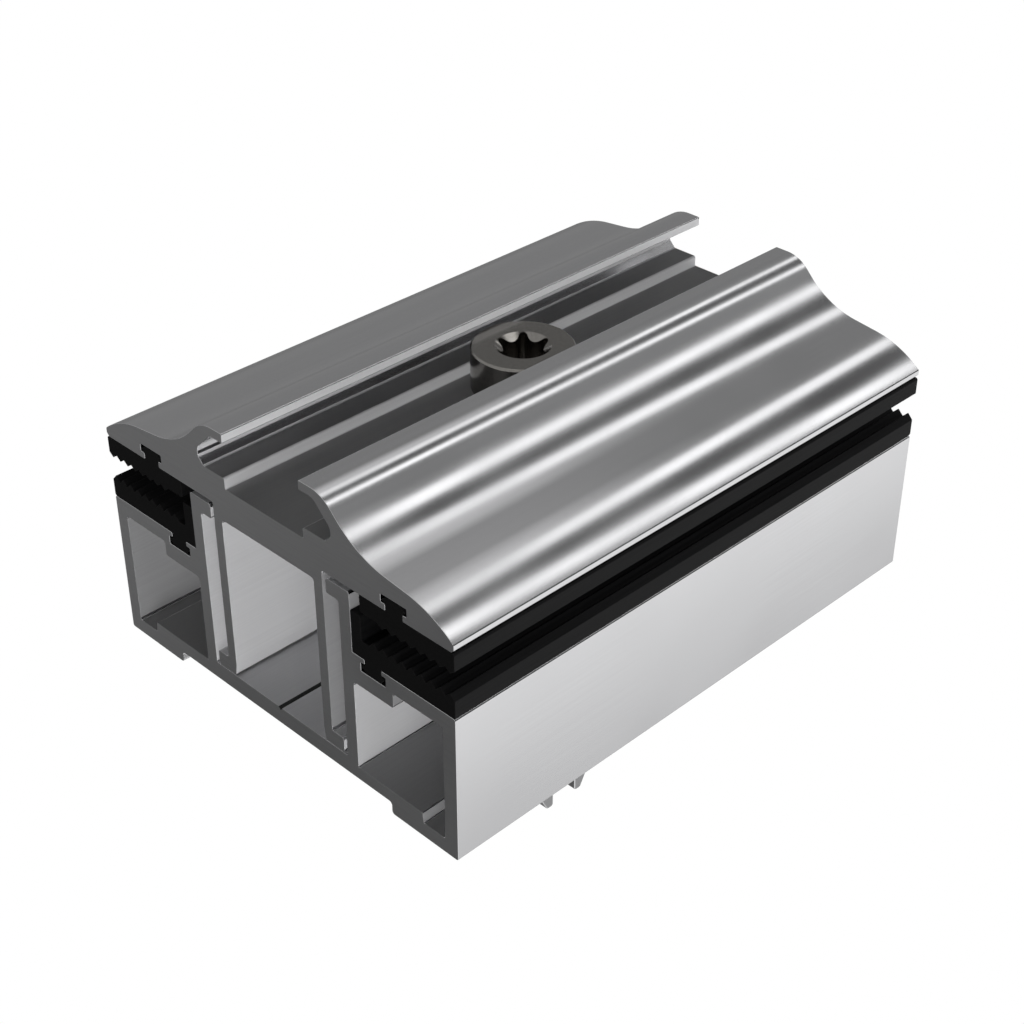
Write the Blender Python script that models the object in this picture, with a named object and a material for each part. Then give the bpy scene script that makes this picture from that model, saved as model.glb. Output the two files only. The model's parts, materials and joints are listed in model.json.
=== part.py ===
"""Solar mid clamp for two frameless modules.

Two aluminium extrusions clamp the modules between four toothed rubber pads. An M8 screw pulls the upper
one down against a click-in nut in the slot of the mounting rail.

Lengths are in metres. The origin is where the screw axis meets the top of the rail, X runs across the
clamp, Y along the extrusions and Z up. Outlines are drawn in X and Z and extruded along Y, except the
nut's, which is drawn in Y and Z and extruded along X.
"""

import math

import bmesh
import bpy
from mathutils import Matrix, Vector

MM = 0.001

# Both extrusions
CLAMP_LENGTH = 80.0 * MM
CLAMP_WIDTH = 60.0 * MM

# Lower body: feet, floor, walls and seats
SEAT_HEIGHT = 19.7 * MM
FOOT_WIDTH = 10.7 * MM
FOOT_DEPTH = 1.6 * MM
FLOOR_THICKNESS = 2.4 * MM
CENTRE_GROOVE_WIDTH = 0.6 * MM
CENTRE_GROOVE_DEPTH = 0.35 * MM
CHANNEL_WIDTH = 24.0 * MM
INNER_WALL = 1.85 * MM
OUTER_WALL = 2.0 * MM
WALL_RISE = 7.9 * MM
HOOK_REACH = 2.0 * MM
HOOK_THICKNESS = 2.0 * MM
CHAMBER_FLOOR = 3.4 * MM
POCKET_FLOOR = 2.0 * MM
POCKET_WIDTH = 3.4 * MM
POCKET_DRAFT = 0.2 * MM
SEAT_THICKNESS = 2.1 * MM
RIB_THICKNESS = 4.1 * MM
RIB_WIDTH = 6.45 * MM

# Lower pad groove, measured from the screw axis and down from the seat
LOWER_GROOVE_CENTRE = 17.2 * MM
LOWER_GROOVE_LIP = 0.65 * MM
LOWER_GROOVE_DEPTH = 1.85 * MM

# Upper clamp: legs, web, channel and wings
TOE_CLEARANCE = 0.1 * MM
TOE_THICKNESS = 2.1 * MM
TOE_GAP = 0.5 * MM
TOE_DRAFT = 0.25 * MM
TOE_DRAFT_HEIGHT = 1.8 * MM
LEG_THICKNESS = 1.5 * MM
LEG_GAP = 0.5 * MM
WING_GAP = 0.6 * MM
WEB_DROP = 1.75 * MM
WEB_RISE = 2.9 * MM
SCREW_CHANNEL_WIDTH = 13.5 * MM
LEDGE_HEIGHT = 1.4 * MM
LIP_GAP = 13.0 * MM
LIP_HEIGHT = 4.6 * MM
LIP_THICKNESS = 1.2 * MM
UNDERCUT_DEPTH = 4.65 * MM
UNDERCUT_FLAT = 2.25 * MM
UNDERCUT_SLOPE = 2.55 * MM
UNDERCUT_CHAMFER = 0.95 * MM
LIP_LENGTH = 3.8 * MM
VALLEY_REACH = 15.5 * MM
VALLEY_HEIGHT = 4.9 * MM
BROW_REACH = 26.9 * MM
BROW_HEIGHT = 3.55 * MM
TIP_THICKNESS = 0.85 * MM
TIP_CHAMFER = 0.3 * MM

# Upper pad groove, measured from the screw axis and up from the wing's underside
UPPER_GROOVE_CENTRE = 21.0 * MM
UPPER_GROOVE_LIP = 0.85 * MM
UPPER_GROOVE_DEPTH = 1.9 * MM

# Shared by the four grooves and the pads' roots
GROOVE_MOUTH = 2.7 * MM
GROOVE_WIDTH = 4.0 * MM
ROOT_CLEARANCE = 0.1 * MM
ROOT_END_WIDTH = 2.4 * MM
BARB_RISE = 0.35 * MM

# Rubber pads
PAD_GAP = 0.05 * MM
TOOTH_PITCH = 1.475 * MM
TOOTH_EDGE = 0.7 * MM
LOWER_PAD_THICKNESS = 3.15 * MM
LOWER_TOOTH_DEPTH = 0.75 * MM
LOWER_TOOTH_COUNT = 9
FLANGE_HEIGHT = 5.7 * MM
FLANGE_THICKNESS = 1.6 * MM
UPPER_PAD_INNER_EDGE = 15.5 * MM
UPPER_PAD_THICKNESS = 2.8 * MM
UPPER_TOOTH_DEPTH = 0.55 * MM
UPPER_TOOTH_COUNT = 8

# M8 x 50 screw with a low cylinder head
THREAD_DIAMETER = 8.0 * MM
SHANK_RELIEF = 0.1 * MM
SCREW_LENGTH = 50.0 * MM
SCREW_HOLE_DIAMETER = 9.0 * MM
HEAD_DIAMETER = 12.8 * MM
HEAD_HEIGHT = 5.45 * MM
HEAD_CHAMFER = 0.25 * MM
HEAD_SEAT_GAP = 0.05 * MM
TIP_TAPER = 1.0 * MM
SOCKET_POINTS = 6.75 * MM
SOCKET_FLATS = 4.85 * MM
SOCKET_LOBE_RADIUS = 0.55 * MM
SOCKET_DEPTH = 3.4 * MM
SOCKET_LEAD_WIDTH = 6.9 * MM
SOCKET_LEAD_DEPTH = 0.6 * MM
SOCKET_LEAD_POINT_SHARE = 0.25
SOCKET_LOBES = 6
SOCKET_TURN = math.radians(15.0)

# Click-in nut, hanging on the screw below the rail's top
NUT_DROP = 9.5 * MM
NUT_LENGTH = 16.3 * MM
NUT_HEIGHT = 20.9 * MM
NUT_NECK_WIDTH = 10.6 * MM
NUT_NECK_HEIGHT = 3.5 * MM
NUT_WIDTH = 18.0 * MM
NUT_BLOCK_HEIGHT = 9.0 * MM
NUT_SLOT_WIDTH = 4.2 * MM
NUT_LEG_THICKNESS = 3.2 * MM
NUT_TIP_THICKNESS = 1.15 * MM
NUT_LEAD_HEIGHT = 3.9 * MM
NUT_BLOCK_CHAMFER = 2.2 * MM
NUT_BORE_CLEARANCE = 0.15 * MM
NUT_BORE_DEPTH = 15.5 * MM

# Corner radii
FINE_RADIUS = 0.15 * MM
EDGE_RADIUS = 0.3 * MM
SOFT_RADIUS = 0.45 * MM
CREST_RADIUS = 4.7 * MM
VALLEY_RADIUS = 12.3 * MM
BROW_RADIUS = 13.7 * MM
UNDERCUT_RADIUS = 1.1 * MM

# Faceting and cutters
ARC_SAGITTA = 0.012 * MM
FILLET_ROOM_SHARE = 0.98
ROUND_SEGMENTS = 48
SHARP_ANGLE = math.radians(30.0)
CUT_OVERRUN = 1.0 * MM

# Heights that follow from the sizes above
FLOOR_TOP = FOOT_DEPTH + FLOOR_THICKNESS
HOOK_TOP = SEAT_HEIGHT + WALL_RISE
HOOK_BOTTOM = HOOK_TOP - HOOK_THICKNESS
TOE_BOTTOM = FLOOR_TOP + TOE_CLEARANCE
WING_BOTTOM = HOOK_TOP + WING_GAP
WEB_BOTTOM = WING_BOTTOM - WEB_DROP
CHANNEL_FLOOR = WING_BOTTOM + WEB_RISE
LEDGE_TOP = CHANNEL_FLOOR + LEDGE_HEIGHT
LIP_BOTTOM = LEDGE_TOP + LIP_HEIGHT
LIP_TOP = LIP_BOTTOM + LIP_THICKNESS

# Distances from the screw axis that follow from the sizes above
OUTER_FACE = CLAMP_WIDTH / 2
WALL_INNER = CHANNEL_WIDTH / 2
WALL_OUTER = WALL_INNER + INNER_WALL
HOOK_END = WALL_INNER - HOOK_REACH
LEG_OUTER = HOOK_END - LEG_GAP
LEG_INNER = LEG_OUTER - LEG_THICKNESS
TOE_END = WALL_INNER - TOE_GAP

ALUMINIUM = ((0.62, 0.62, 0.63), 1.0, 0.35)
RUBBER = ((0.02, 0.02, 0.022), 0.0, 0.7)
DARK_STEEL = ((0.16, 0.15, 0.14), 1.0, 0.45)


def clear_scene():
    for item in list(bpy.data.objects):
        bpy.data.objects.remove(item, do_unlink=True)


def finish(name, look):
    colour, metallic, roughness = look
    material = bpy.data.materials.new(name)
    material.use_nodes = True
    shader = material.node_tree.nodes["Principled BSDF"]
    shader.inputs["Base Color"].default_value = (*colour, 1.0)
    shader.inputs["Metallic"].default_value = metallic
    shader.inputs["Roughness"].default_value = roughness
    return material


def arc_steps(radius, sweep):
    """Number of facets that keeps an arc within ARC_SAGITTA of its circle."""
    share = max(-1.0, 1.0 - ARC_SAGITTA / radius)
    return max(2, math.ceil(sweep / (2.0 * math.acos(share))))


def rounded_corner(before, here, after, reach):
    """The arc that rounds one corner of an outline, from reach before the corner to reach after it."""
    back = before - here
    ahead = after - here
    half_angle = back.angle(ahead) / 2.0
    radius = reach * math.tan(half_angle)
    start = here + back.normalized() * reach
    bisector = (back.normalized() + ahead.normalized()).normalized()
    centre = here + bisector * radius / math.sin(half_angle)
    sweep = math.pi - 2.0 * half_angle
    turn = math.copysign(sweep, back.cross(ahead))
    steps = arc_steps(radius, sweep)
    return [centre + Matrix.Rotation(-turn * step / steps, 2) @ (start - centre) for step in range(steps + 1)]


def rounded_outline(corners):
    """Closed outline through corners given as (across, up, radius).

    Two arcs that would meet on the side between them both shrink until they fit on it.
    """
    places = [Vector((across, up)) for across, up, _ in corners]
    befores = places[-1:] + places[:-1]
    afters = places[1:] + places[:1]
    reaches = []
    for before, here, after, (_, _, radius) in zip(befores, places, afters, corners):
        reaches.append(radius / math.tan((before - here).angle(after - here) / 2.0))
    points = []
    for index, here in enumerate(places):
        if reaches[index] == 0:
            points.append(here)
            continue
        room_back = (befores[index] - here).length / (reaches[index] + reaches[index - 1])
        room_ahead = (afters[index] - here).length / (reaches[index] + reaches[(index + 1) % len(places)])
        fit = min(1.0, FILLET_ROOM_SHARE * min(room_back, room_ahead))
        points += rounded_corner(befores[index], here, afters[index], fit * reaches[index])
    return points


def mirrored(half):
    """Corners of a symmetric outline from those on its positive side, in order."""
    other = [(-across, up, radius) for across, up, radius in reversed(half) if across != 0]
    return half + other


def add_object(name, mesh, location=(0.0, 0.0, 0.0), parent=None, look=None):
    item = bpy.data.objects.new(name, mesh)
    bpy.context.collection.objects.link(item)
    item.location = location
    item.parent = parent
    if look and not mesh.materials:
        mesh.materials.append(look)
    return item


def add_axis(name, location=(0.0, 0.0, 0.0), parent=None):
    """An empty on a joint's axis, which carries the pieces that move together."""
    axis = bpy.data.objects.new(name, None)
    bpy.context.collection.objects.link(axis)
    axis.location = location
    axis.parent = parent
    return axis


def extruded_mesh(name, outline, length, along_x=False):
    """Solid of an outline extruded to a length, half to each side of the origin."""
    shape = bmesh.new()
    half = length / 2
    if along_x:
        ring = [shape.verts.new((-half, point.x, point.y)) for point in outline]
        step = Vector((length, 0.0, 0.0))
    else:
        ring = [shape.verts.new((point.x, -half, point.y)) for point in outline]
        step = Vector((0.0, length, 0.0))
    cap = shape.faces.new(ring)
    grown = bmesh.ops.extrude_face_region(shape, geom=[cap], use_keep_orig=True)
    moved = [part for part in grown["geom"] if isinstance(part, bmesh.types.BMVert)]
    bmesh.ops.translate(shape, verts=moved, vec=step)
    bmesh.ops.recalc_face_normals(shape, faces=shape.faces)
    return finished_mesh(name, shape)


def turned_mesh(name, profile):
    """Solid of revolution about Z of a profile of (radius, height) from its foot to its top."""
    shape = bmesh.new()
    angles = [2.0 * math.pi * step / ROUND_SEGMENTS for step in range(ROUND_SEGMENTS)]
    rings = []
    for radius, height in profile:
        rings.append([shape.verts.new((radius * math.cos(a), radius * math.sin(a), height)) for a in angles])
    for lower, upper in zip(rings, rings[1:]):
        for index in range(ROUND_SEGMENTS):
            following = (index + 1) % ROUND_SEGMENTS
            shape.faces.new((lower[index], lower[following], upper[following], upper[index]))
    shape.faces.new(list(reversed(rings[0])))
    shape.faces.new(rings[-1])
    return finished_mesh(name, shape)


def finished_mesh(name, shape):
    mesh = bpy.data.meshes.new(name)
    shape.to_mesh(mesh)
    shape.free()
    return mesh


def cut(item, name, mesh):
    """Takes a cutter, drawn in the item's own frame, away from the item."""
    cutter = add_object(name, mesh, parent=item)
    cutter.hide_render = True
    cutter.display_type = "WIRE"
    modifier = item.modifiers.new(name, "BOOLEAN")
    modifier.operation = "DIFFERENCE"
    modifier.solver = "EXACT"
    modifier.object = cutter


def groove_corners(centre, face, lip, depth):
    """Corners of a T-groove in a horizontal face, outer side first. A negative depth cuts upwards."""
    mouth = GROOVE_MOUTH / 2
    room = GROOVE_WIDTH / 2
    return [
        (centre + mouth, face, FINE_RADIUS),
        (centre + mouth, face - lip, FINE_RADIUS),
        (centre + room, face - lip, FINE_RADIUS),
        (centre + room, face - depth, FINE_RADIUS),
        (centre - room, face - depth, FINE_RADIUS),
        (centre - room, face - lip, FINE_RADIUS),
        (centre - mouth, face - lip, FINE_RADIUS),
        (centre - mouth, face, FINE_RADIUS),
    ]


def lower_body_outline():
    foot_inner = OUTER_FACE - FOOT_WIDTH
    seat = groove_corners(LOWER_GROOVE_CENTRE, SEAT_HEIGHT, LOWER_GROOVE_LIP, LOWER_GROOVE_DEPTH)
    half = [
        (foot_inner, FOOT_DEPTH, SOFT_RADIUS),
        (foot_inner, 0, SOFT_RADIUS),
        (OUTER_FACE, 0, EDGE_RADIUS),
        (OUTER_FACE, SEAT_HEIGHT, EDGE_RADIUS),
        *seat,
        (WALL_OUTER, SEAT_HEIGHT, FINE_RADIUS),
        (WALL_OUTER, HOOK_TOP, EDGE_RADIUS),
        (HOOK_END, HOOK_TOP, SOFT_RADIUS),
        (HOOK_END, HOOK_BOTTOM, EDGE_RADIUS),
        (WALL_INNER, HOOK_BOTTOM, EDGE_RADIUS),
        (WALL_INNER, FLOOR_TOP, EDGE_RADIUS),
        (CENTRE_GROOVE_WIDTH / 2, FLOOR_TOP, 0),
        (0, FLOOR_TOP - CENTRE_GROOVE_DEPTH, 0),
    ]
    return rounded_outline(mirrored(half))


def chamber_outline():
    """The closed chamber under the right seat, with its pocket at the outer wall and its rib."""
    outer = OUTER_FACE - OUTER_WALL
    pocket_inner = outer - POCKET_WIDTH
    rib_end = WALL_OUTER + RIB_WIDTH
    ceiling = SEAT_HEIGHT - SEAT_THICKNESS
    rib_bottom = SEAT_HEIGHT - RIB_THICKNESS
    return rounded_outline(
        [
            (WALL_OUTER, CHAMBER_FLOOR, FINE_RADIUS),
            (pocket_inner - POCKET_DRAFT, CHAMBER_FLOOR, FINE_RADIUS),
            (pocket_inner, POCKET_FLOOR, FINE_RADIUS),
            (outer, POCKET_FLOOR, EDGE_RADIUS),
            (outer, ceiling, EDGE_RADIUS),
            (rib_end, ceiling, EDGE_RADIUS),
            (rib_end, rib_bottom, EDGE_RADIUS),
            (WALL_OUTER, rib_bottom, SOFT_RADIUS),
        ]
    )


def build_lower_body(look):
    body = add_object("lower_body", extruded_mesh("lower_body", lower_body_outline(), CLAMP_LENGTH), look=look)
    right = chamber_outline()
    left = [Vector((-point.x, point.y)) for point in right]
    through = CLAMP_LENGTH + 2 * CUT_OVERRUN
    cut(body, "cut_chamber_right", extruded_mesh("cut_chamber_right", right, through))
    cut(body, "cut_chamber_left", extruded_mesh("cut_chamber_left", left, through))
    cut_screw_hole(body, "cut_floor_hole", FOOT_DEPTH, FLOOR_TOP)


def cut_screw_hole(item, name, bottom, top):
    radius = SCREW_HOLE_DIAMETER / 2
    profile = [(radius, bottom - CUT_OVERRUN), (radius, top + CUT_OVERRUN)]
    cut(item, name, turned_mesh(name, profile))


def upper_clamp_outline():
    """Half of the upper extrusion, from its channel floor over the wing, leg and toe to its web."""
    channel = SCREW_CHANNEL_WIDTH / 2
    lip_end = LIP_GAP / 2
    undercut = channel + UNDERCUT_DEPTH
    top_groove = groove_corners(UPPER_GROOVE_CENTRE, WING_BOTTOM, -UPPER_GROOVE_LIP, -UPPER_GROOVE_DEPTH)
    half = [
        (channel, CHANNEL_FLOOR, FINE_RADIUS),
        (channel, LEDGE_TOP, EDGE_RADIUS),
        (undercut - UNDERCUT_CHAMFER, LEDGE_TOP, SOFT_RADIUS),
        (undercut, LEDGE_TOP + UNDERCUT_CHAMFER, SOFT_RADIUS),
        (undercut, LIP_BOTTOM - UNDERCUT_SLOPE, UNDERCUT_RADIUS),
        (lip_end + UNDERCUT_FLAT, LIP_BOTTOM, UNDERCUT_RADIUS),
        (lip_end, LIP_BOTTOM, FINE_RADIUS),
        (lip_end, LIP_TOP, FINE_RADIUS),
        (lip_end + LIP_LENGTH, LIP_TOP, CREST_RADIUS),
        (VALLEY_REACH, WING_BOTTOM + VALLEY_HEIGHT, VALLEY_RADIUS),
        (BROW_REACH, WING_BOTTOM + BROW_HEIGHT, BROW_RADIUS),
        (OUTER_FACE, WING_BOTTOM + TIP_THICKNESS, FINE_RADIUS),
        (OUTER_FACE, WING_BOTTOM + TIP_CHAMFER, FINE_RADIUS),
        (OUTER_FACE - TIP_CHAMFER, WING_BOTTOM, 0),
        *top_groove,
        (LEG_OUTER, WING_BOTTOM, EDGE_RADIUS),
        (LEG_OUTER, TOE_BOTTOM + TOE_THICKNESS, EDGE_RADIUS),
        (TOE_END, TOE_BOTTOM + TOE_THICKNESS, EDGE_RADIUS),
        (TOE_END, TOE_BOTTOM, SOFT_RADIUS),
        (LEG_INNER + TOE_DRAFT, TOE_BOTTOM, EDGE_RADIUS),
        (LEG_INNER, TOE_BOTTOM + TOE_DRAFT_HEIGHT, 0),
        (LEG_INNER, WEB_BOTTOM, SOFT_RADIUS),
    ]
    return rounded_outline(mirrored(half))


def build_upper_clamp(look, parent):
    mesh = extruded_mesh("upper_clamp", upper_clamp_outline(), CLAMP_LENGTH)
    clamp = add_object("upper_clamp", mesh, parent=parent, look=look)
    cut_screw_hole(clamp, "cut_web_hole", WEB_BOTTOM, CHANNEL_FLOOR)


def root_corners(lip, depth):
    """The barbed root of a pad, below its seated face, from the outer side to the inner one."""
    neck = GROOVE_MOUTH / 2 - ROOT_CLEARANCE
    barb = GROOVE_WIDTH / 2 - ROOT_CLEARANCE
    end = ROOT_END_WIDTH / 2
    side = [
        (neck, PAD_GAP, FINE_RADIUS),
        (neck, -lip - ROOT_CLEARANCE, FINE_RADIUS),
        (barb, -lip - BARB_RISE, 0),
        (end, -depth + ROOT_CLEARANCE, FINE_RADIUS),
    ]
    return side + [(-across, up, radius) for across, up, radius in reversed(side)]


def tooth_corners(outer, thickness, depth, count):
    """A row of V teeth from the innermost valley to the pad's outer side."""
    first = outer - TOOTH_EDGE - (count - 1) * TOOTH_PITCH
    corners = []
    for index in range(count):
        crest = first + index * TOOTH_PITCH
        corners.append((crest - TOOTH_PITCH / 2, thickness - depth, 0))
        corners.append((crest, thickness, 0))
    corners.append((outer, thickness - depth, 0))
    return corners


def lower_pad_outline():
    """Outline about the groove's mouth, with the root down and the teeth up."""
    inner = WALL_OUTER + PAD_GAP - LOWER_GROOVE_CENTRE
    outer = OUTER_FACE - LOWER_GROOVE_CENTRE
    flat = LOWER_PAD_THICKNESS - LOWER_TOOTH_DEPTH
    corners = [
        (inner, PAD_GAP, FINE_RADIUS),
        (inner, FLANGE_HEIGHT, FINE_RADIUS),
        (inner + FLANGE_THICKNESS, FLANGE_HEIGHT, FINE_RADIUS),
        (inner + FLANGE_THICKNESS, flat, EDGE_RADIUS),
        *tooth_corners(outer, LOWER_PAD_THICKNESS, LOWER_TOOTH_DEPTH, LOWER_TOOTH_COUNT),
        (outer, PAD_GAP, EDGE_RADIUS),
        *root_corners(LOWER_GROOVE_LIP, LOWER_GROOVE_DEPTH),
    ]
    return rounded_outline(corners)


def upper_pad_outline():
    """Outline about the groove's mouth, drawn with the root down and then turned over."""
    inner = UPPER_PAD_INNER_EDGE - UPPER_GROOVE_CENTRE
    outer = OUTER_FACE - UPPER_GROOVE_CENTRE
    flat = UPPER_PAD_THICKNESS - UPPER_TOOTH_DEPTH
    corners = [
        (inner, PAD_GAP, FINE_RADIUS),
        (inner, flat, EDGE_RADIUS),
        *tooth_corners(outer, UPPER_PAD_THICKNESS, UPPER_TOOTH_DEPTH, UPPER_TOOTH_COUNT),
        (outer, PAD_GAP, EDGE_RADIUS),
        *root_corners(UPPER_GROOVE_LIP, UPPER_GROOVE_DEPTH),
    ]
    return [Vector((point.x, -point.y)) for point in rounded_outline(corners)]


def build_pad_pair(name, outline, centre, height, parent, look):
    """The right pad and, turned half round the screw axis, the left one."""
    mesh = extruded_mesh(name, outline, CLAMP_LENGTH)
    add_object(f"{name}_right", mesh, (centre, 0.0, height), parent, look)
    left = add_object(f"{name}_left", mesh, (-centre, 0.0, height), parent, look)
    left.rotation_euler.z = math.pi


def socket_outline():
    """Six-lobed socket: small lobes at the points and tangent scallops between them."""
    lobe_centre = SOCKET_POINTS / 2 - SOCKET_LOBE_RADIUS
    flat = SOCKET_FLATS / 2
    half_step = math.pi / SOCKET_LOBES
    lean = lobe_centre * math.cos(half_step)
    above = SOCKET_LOBE_RADIUS**2 - lobe_centre**2 - flat**2 + 2 * flat * lean
    scallop_radius = above / (2 * (flat - lean - SOCKET_LOBE_RADIUS))
    scallop_centre = flat + scallop_radius
    contact = Vector((scallop_centre * math.cos(half_step) - lobe_centre, scallop_centre * math.sin(half_step)))
    lobe_sweep = math.atan2(contact.y, contact.x)
    scallop_sweep = lobe_sweep - half_step
    points = []
    for index in range(SOCKET_LOBES):
        axis = SOCKET_TURN + 2 * half_step * index
        points += arc(lobe_centre, axis, SOCKET_LOBE_RADIUS, axis - lobe_sweep, axis + lobe_sweep)
        between = axis + half_step
        facing = between + math.pi
        ends = (facing + scallop_sweep, facing - scallop_sweep)
        points += arc(scallop_centre, between, scallop_radius, *ends)[1:-1]
    return points


def arc(distance, direction, radius, start, end):
    """Points of an arc whose centre lies at a distance and direction from the origin."""
    centre = Vector((distance * math.cos(direction), distance * math.sin(direction)))
    steps = arc_steps(radius, abs(end - start))
    angles = [start + (end - start) * step / steps for step in range(steps + 1)]
    return [centre + radius * Vector((math.cos(a), math.sin(a))) for a in angles]


def upright_prism(name, outline, bottom, top):
    """Solid of an outline in X and Y, between two heights."""
    shape = bmesh.new()
    cap = shape.faces.new([shape.verts.new((point.x, point.y, bottom)) for point in outline])
    grown = bmesh.ops.extrude_face_region(shape, geom=[cap], use_keep_orig=True)
    moved = [part for part in grown["geom"] if isinstance(part, bmesh.types.BMVert)]
    bmesh.ops.translate(shape, verts=moved, vec=(0.0, 0.0, top - bottom))
    bmesh.ops.recalc_face_normals(shape, faces=shape.faces)
    return finished_mesh(name, shape)


def build_clamp_screw(look, parent):
    """The screw, with its head's seat at the height of its own origin."""
    head = HEAD_DIAMETER / 2
    shank = THREAD_DIAMETER / 2 - SHANK_RELIEF
    profile = [
        (shank - TIP_TAPER, -SCREW_LENGTH),
        (shank, TIP_TAPER - SCREW_LENGTH),
        (shank, 0),
        (head, 0),
        (head, HEAD_HEIGHT - HEAD_CHAMFER),
        (head - HEAD_CHAMFER, HEAD_HEIGHT),
    ]
    screw = add_object("clamp_screw", turned_mesh("clamp_screw", profile), parent=parent, look=look)
    for face in screw.data.polygons:
        face.use_smooth = True
    screw.data.set_sharp_from_angle(angle=SHARP_ANGLE)
    above = HEAD_HEIGHT + CUT_OVERRUN
    socket = upright_prism("cut_socket", socket_outline(), HEAD_HEIGHT - SOCKET_DEPTH, above)
    cut(screw, "cut_socket", socket)
    lead = SOCKET_LEAD_WIDTH / 2
    slope = (lead - SOCKET_FLATS / 2) / SOCKET_LEAD_DEPTH
    point = SOCKET_LEAD_POINT_SHARE * SOCKET_FLATS
    lead_in = [
        (point, HEAD_HEIGHT - (lead - point) / slope),
        (lead + slope * CUT_OVERRUN, above),
    ]
    cut(screw, "cut_socket_lead", turned_mesh("cut_socket_lead", lead_in))


def slot_nut_outline():
    """Section of the nut across the rail: neck, shoulders and two legs with tapered ends."""
    neck = NUT_NECK_WIDTH / 2
    shoulder = NUT_WIDTH / 2
    slot = NUT_SLOT_WIDTH / 2
    leg = slot + NUT_LEG_THICKNESS
    half = [
        (slot, -NUT_BLOCK_HEIGHT, SOFT_RADIUS),
        (slot, -NUT_HEIGHT, SOFT_RADIUS),
        (slot + NUT_TIP_THICKNESS, -NUT_HEIGHT, SOFT_RADIUS),
        (leg, NUT_LEAD_HEIGHT - NUT_HEIGHT, SOFT_RADIUS),
        (leg, -NUT_BLOCK_HEIGHT, SOFT_RADIUS),
        (shoulder - NUT_BLOCK_CHAMFER, -NUT_BLOCK_HEIGHT, SOFT_RADIUS),
        (shoulder, NUT_BLOCK_CHAMFER - NUT_BLOCK_HEIGHT, SOFT_RADIUS),
        (shoulder, -NUT_NECK_HEIGHT, EDGE_RADIUS),
        (neck, -NUT_NECK_HEIGHT, EDGE_RADIUS),
        (neck, 0, EDGE_RADIUS),
    ]
    return rounded_outline(mirrored(half))


def build_slot_nut(look, parent):
    """The nut, with its top at the height of its own origin."""
    mesh = extruded_mesh("slot_nut", slot_nut_outline(), NUT_LENGTH, along_x=True)
    nut = add_object("slot_nut", mesh, parent=parent, look=look)
    radius = THREAD_DIAMETER / 2 + NUT_BORE_CLEARANCE
    cut(nut, "cut_bore", turned_mesh("cut_bore", [(radius, -NUT_BORE_DEPTH), (radius, CUT_OVERRUN)]))


def main():
    clear_scene()
    aluminium = finish("aluminium", ALUMINIUM)
    rubber = finish("rubber", RUBBER)
    steel = finish("dark_steel", DARK_STEEL)
    lift_axis = add_axis("lift_axis")
    screw_axis = add_axis("screw_axis", (0.0, 0.0, CHANNEL_FLOOR + HEAD_SEAT_GAP), lift_axis)
    nut_axis = add_axis("nut_axis", (0.0, 0.0, -NUT_DROP), lift_axis)
    build_lower_body(aluminium)
    build_upper_clamp(aluminium, lift_axis)
    build_pad_pair("pad_lower", lower_pad_outline(), LOWER_GROOVE_CENTRE, SEAT_HEIGHT, None, rubber)
    build_pad_pair("pad_upper", upper_pad_outline(), UPPER_GROOVE_CENTRE, WING_BOTTOM, lift_axis, rubber)
    build_clamp_screw(steel, screw_axis)
    build_slot_nut(aluminium, nut_axis)
    bpy.context.view_layer.update()


main()
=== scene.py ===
"""Looks of the solar mid clamp: camera, studio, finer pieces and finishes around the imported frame.

Lengths are in metres, in the frame's own axes: X across the clamp, Y along the extrusions and Z up,
with the origin where the screw axis meets the top of the rail. Every piece is drawn in its place at rest.
"""

from __future__ import annotations

import json
import logging
import math
from collections.abc import Callable
from dataclasses import dataclass
from enum import Enum, IntEnum

import bpy
from mathutils import Matrix, Vector
from mathutils.geometry import tessellate_polygon

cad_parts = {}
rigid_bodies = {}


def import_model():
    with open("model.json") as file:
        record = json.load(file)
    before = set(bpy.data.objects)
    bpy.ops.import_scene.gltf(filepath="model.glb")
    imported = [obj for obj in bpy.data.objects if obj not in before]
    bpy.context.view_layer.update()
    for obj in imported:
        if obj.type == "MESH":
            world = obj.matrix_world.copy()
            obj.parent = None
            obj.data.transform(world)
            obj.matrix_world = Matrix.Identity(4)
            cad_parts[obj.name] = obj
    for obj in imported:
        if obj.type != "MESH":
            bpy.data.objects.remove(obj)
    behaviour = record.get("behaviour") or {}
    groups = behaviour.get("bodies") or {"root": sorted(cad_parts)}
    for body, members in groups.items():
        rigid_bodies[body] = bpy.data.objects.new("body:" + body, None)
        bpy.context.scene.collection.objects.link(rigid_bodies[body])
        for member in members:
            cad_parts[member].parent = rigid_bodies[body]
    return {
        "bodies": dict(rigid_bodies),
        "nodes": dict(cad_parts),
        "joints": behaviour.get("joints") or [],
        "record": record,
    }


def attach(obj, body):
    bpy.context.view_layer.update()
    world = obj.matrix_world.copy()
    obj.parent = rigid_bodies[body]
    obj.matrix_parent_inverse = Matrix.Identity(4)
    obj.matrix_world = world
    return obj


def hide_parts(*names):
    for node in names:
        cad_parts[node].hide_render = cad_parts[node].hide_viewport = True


LOG = logging.getLogger("scene")
MM = 0.001

# How finely round shapes are drawn: a step's most distance from its arc and most turn, and step counts
ARC_SAGITTA = 0.0015 * MM
ARC_TURN = math.radians(12.0)
ROUND_STEPS = 128
EASE_STEPS = 3
CARD_STEP = 5.0
# Share of a side that the arcs at its two ends may fill
ARC_ROOM_SHARE = 0.98
# How far a cutter goes past the faces it cuts
OVERRUN = 0.5 * MM
# How near to a level a side lies that is on it, and how near two points lie that are one
TOUCH = 0.005 * MM
WELD = 0.0005 * MM
NO_LENGTH = 1e-9
# Cosines above which two normals make one flat side, and below which they make a sharp edge
FLAT_COSINE = 0.99999
SHARP_COSINE = 0.9999
# Most of a noise lies between these values
NOISE_LOW = 0.3
NOISE_HIGH = 0.7

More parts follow.
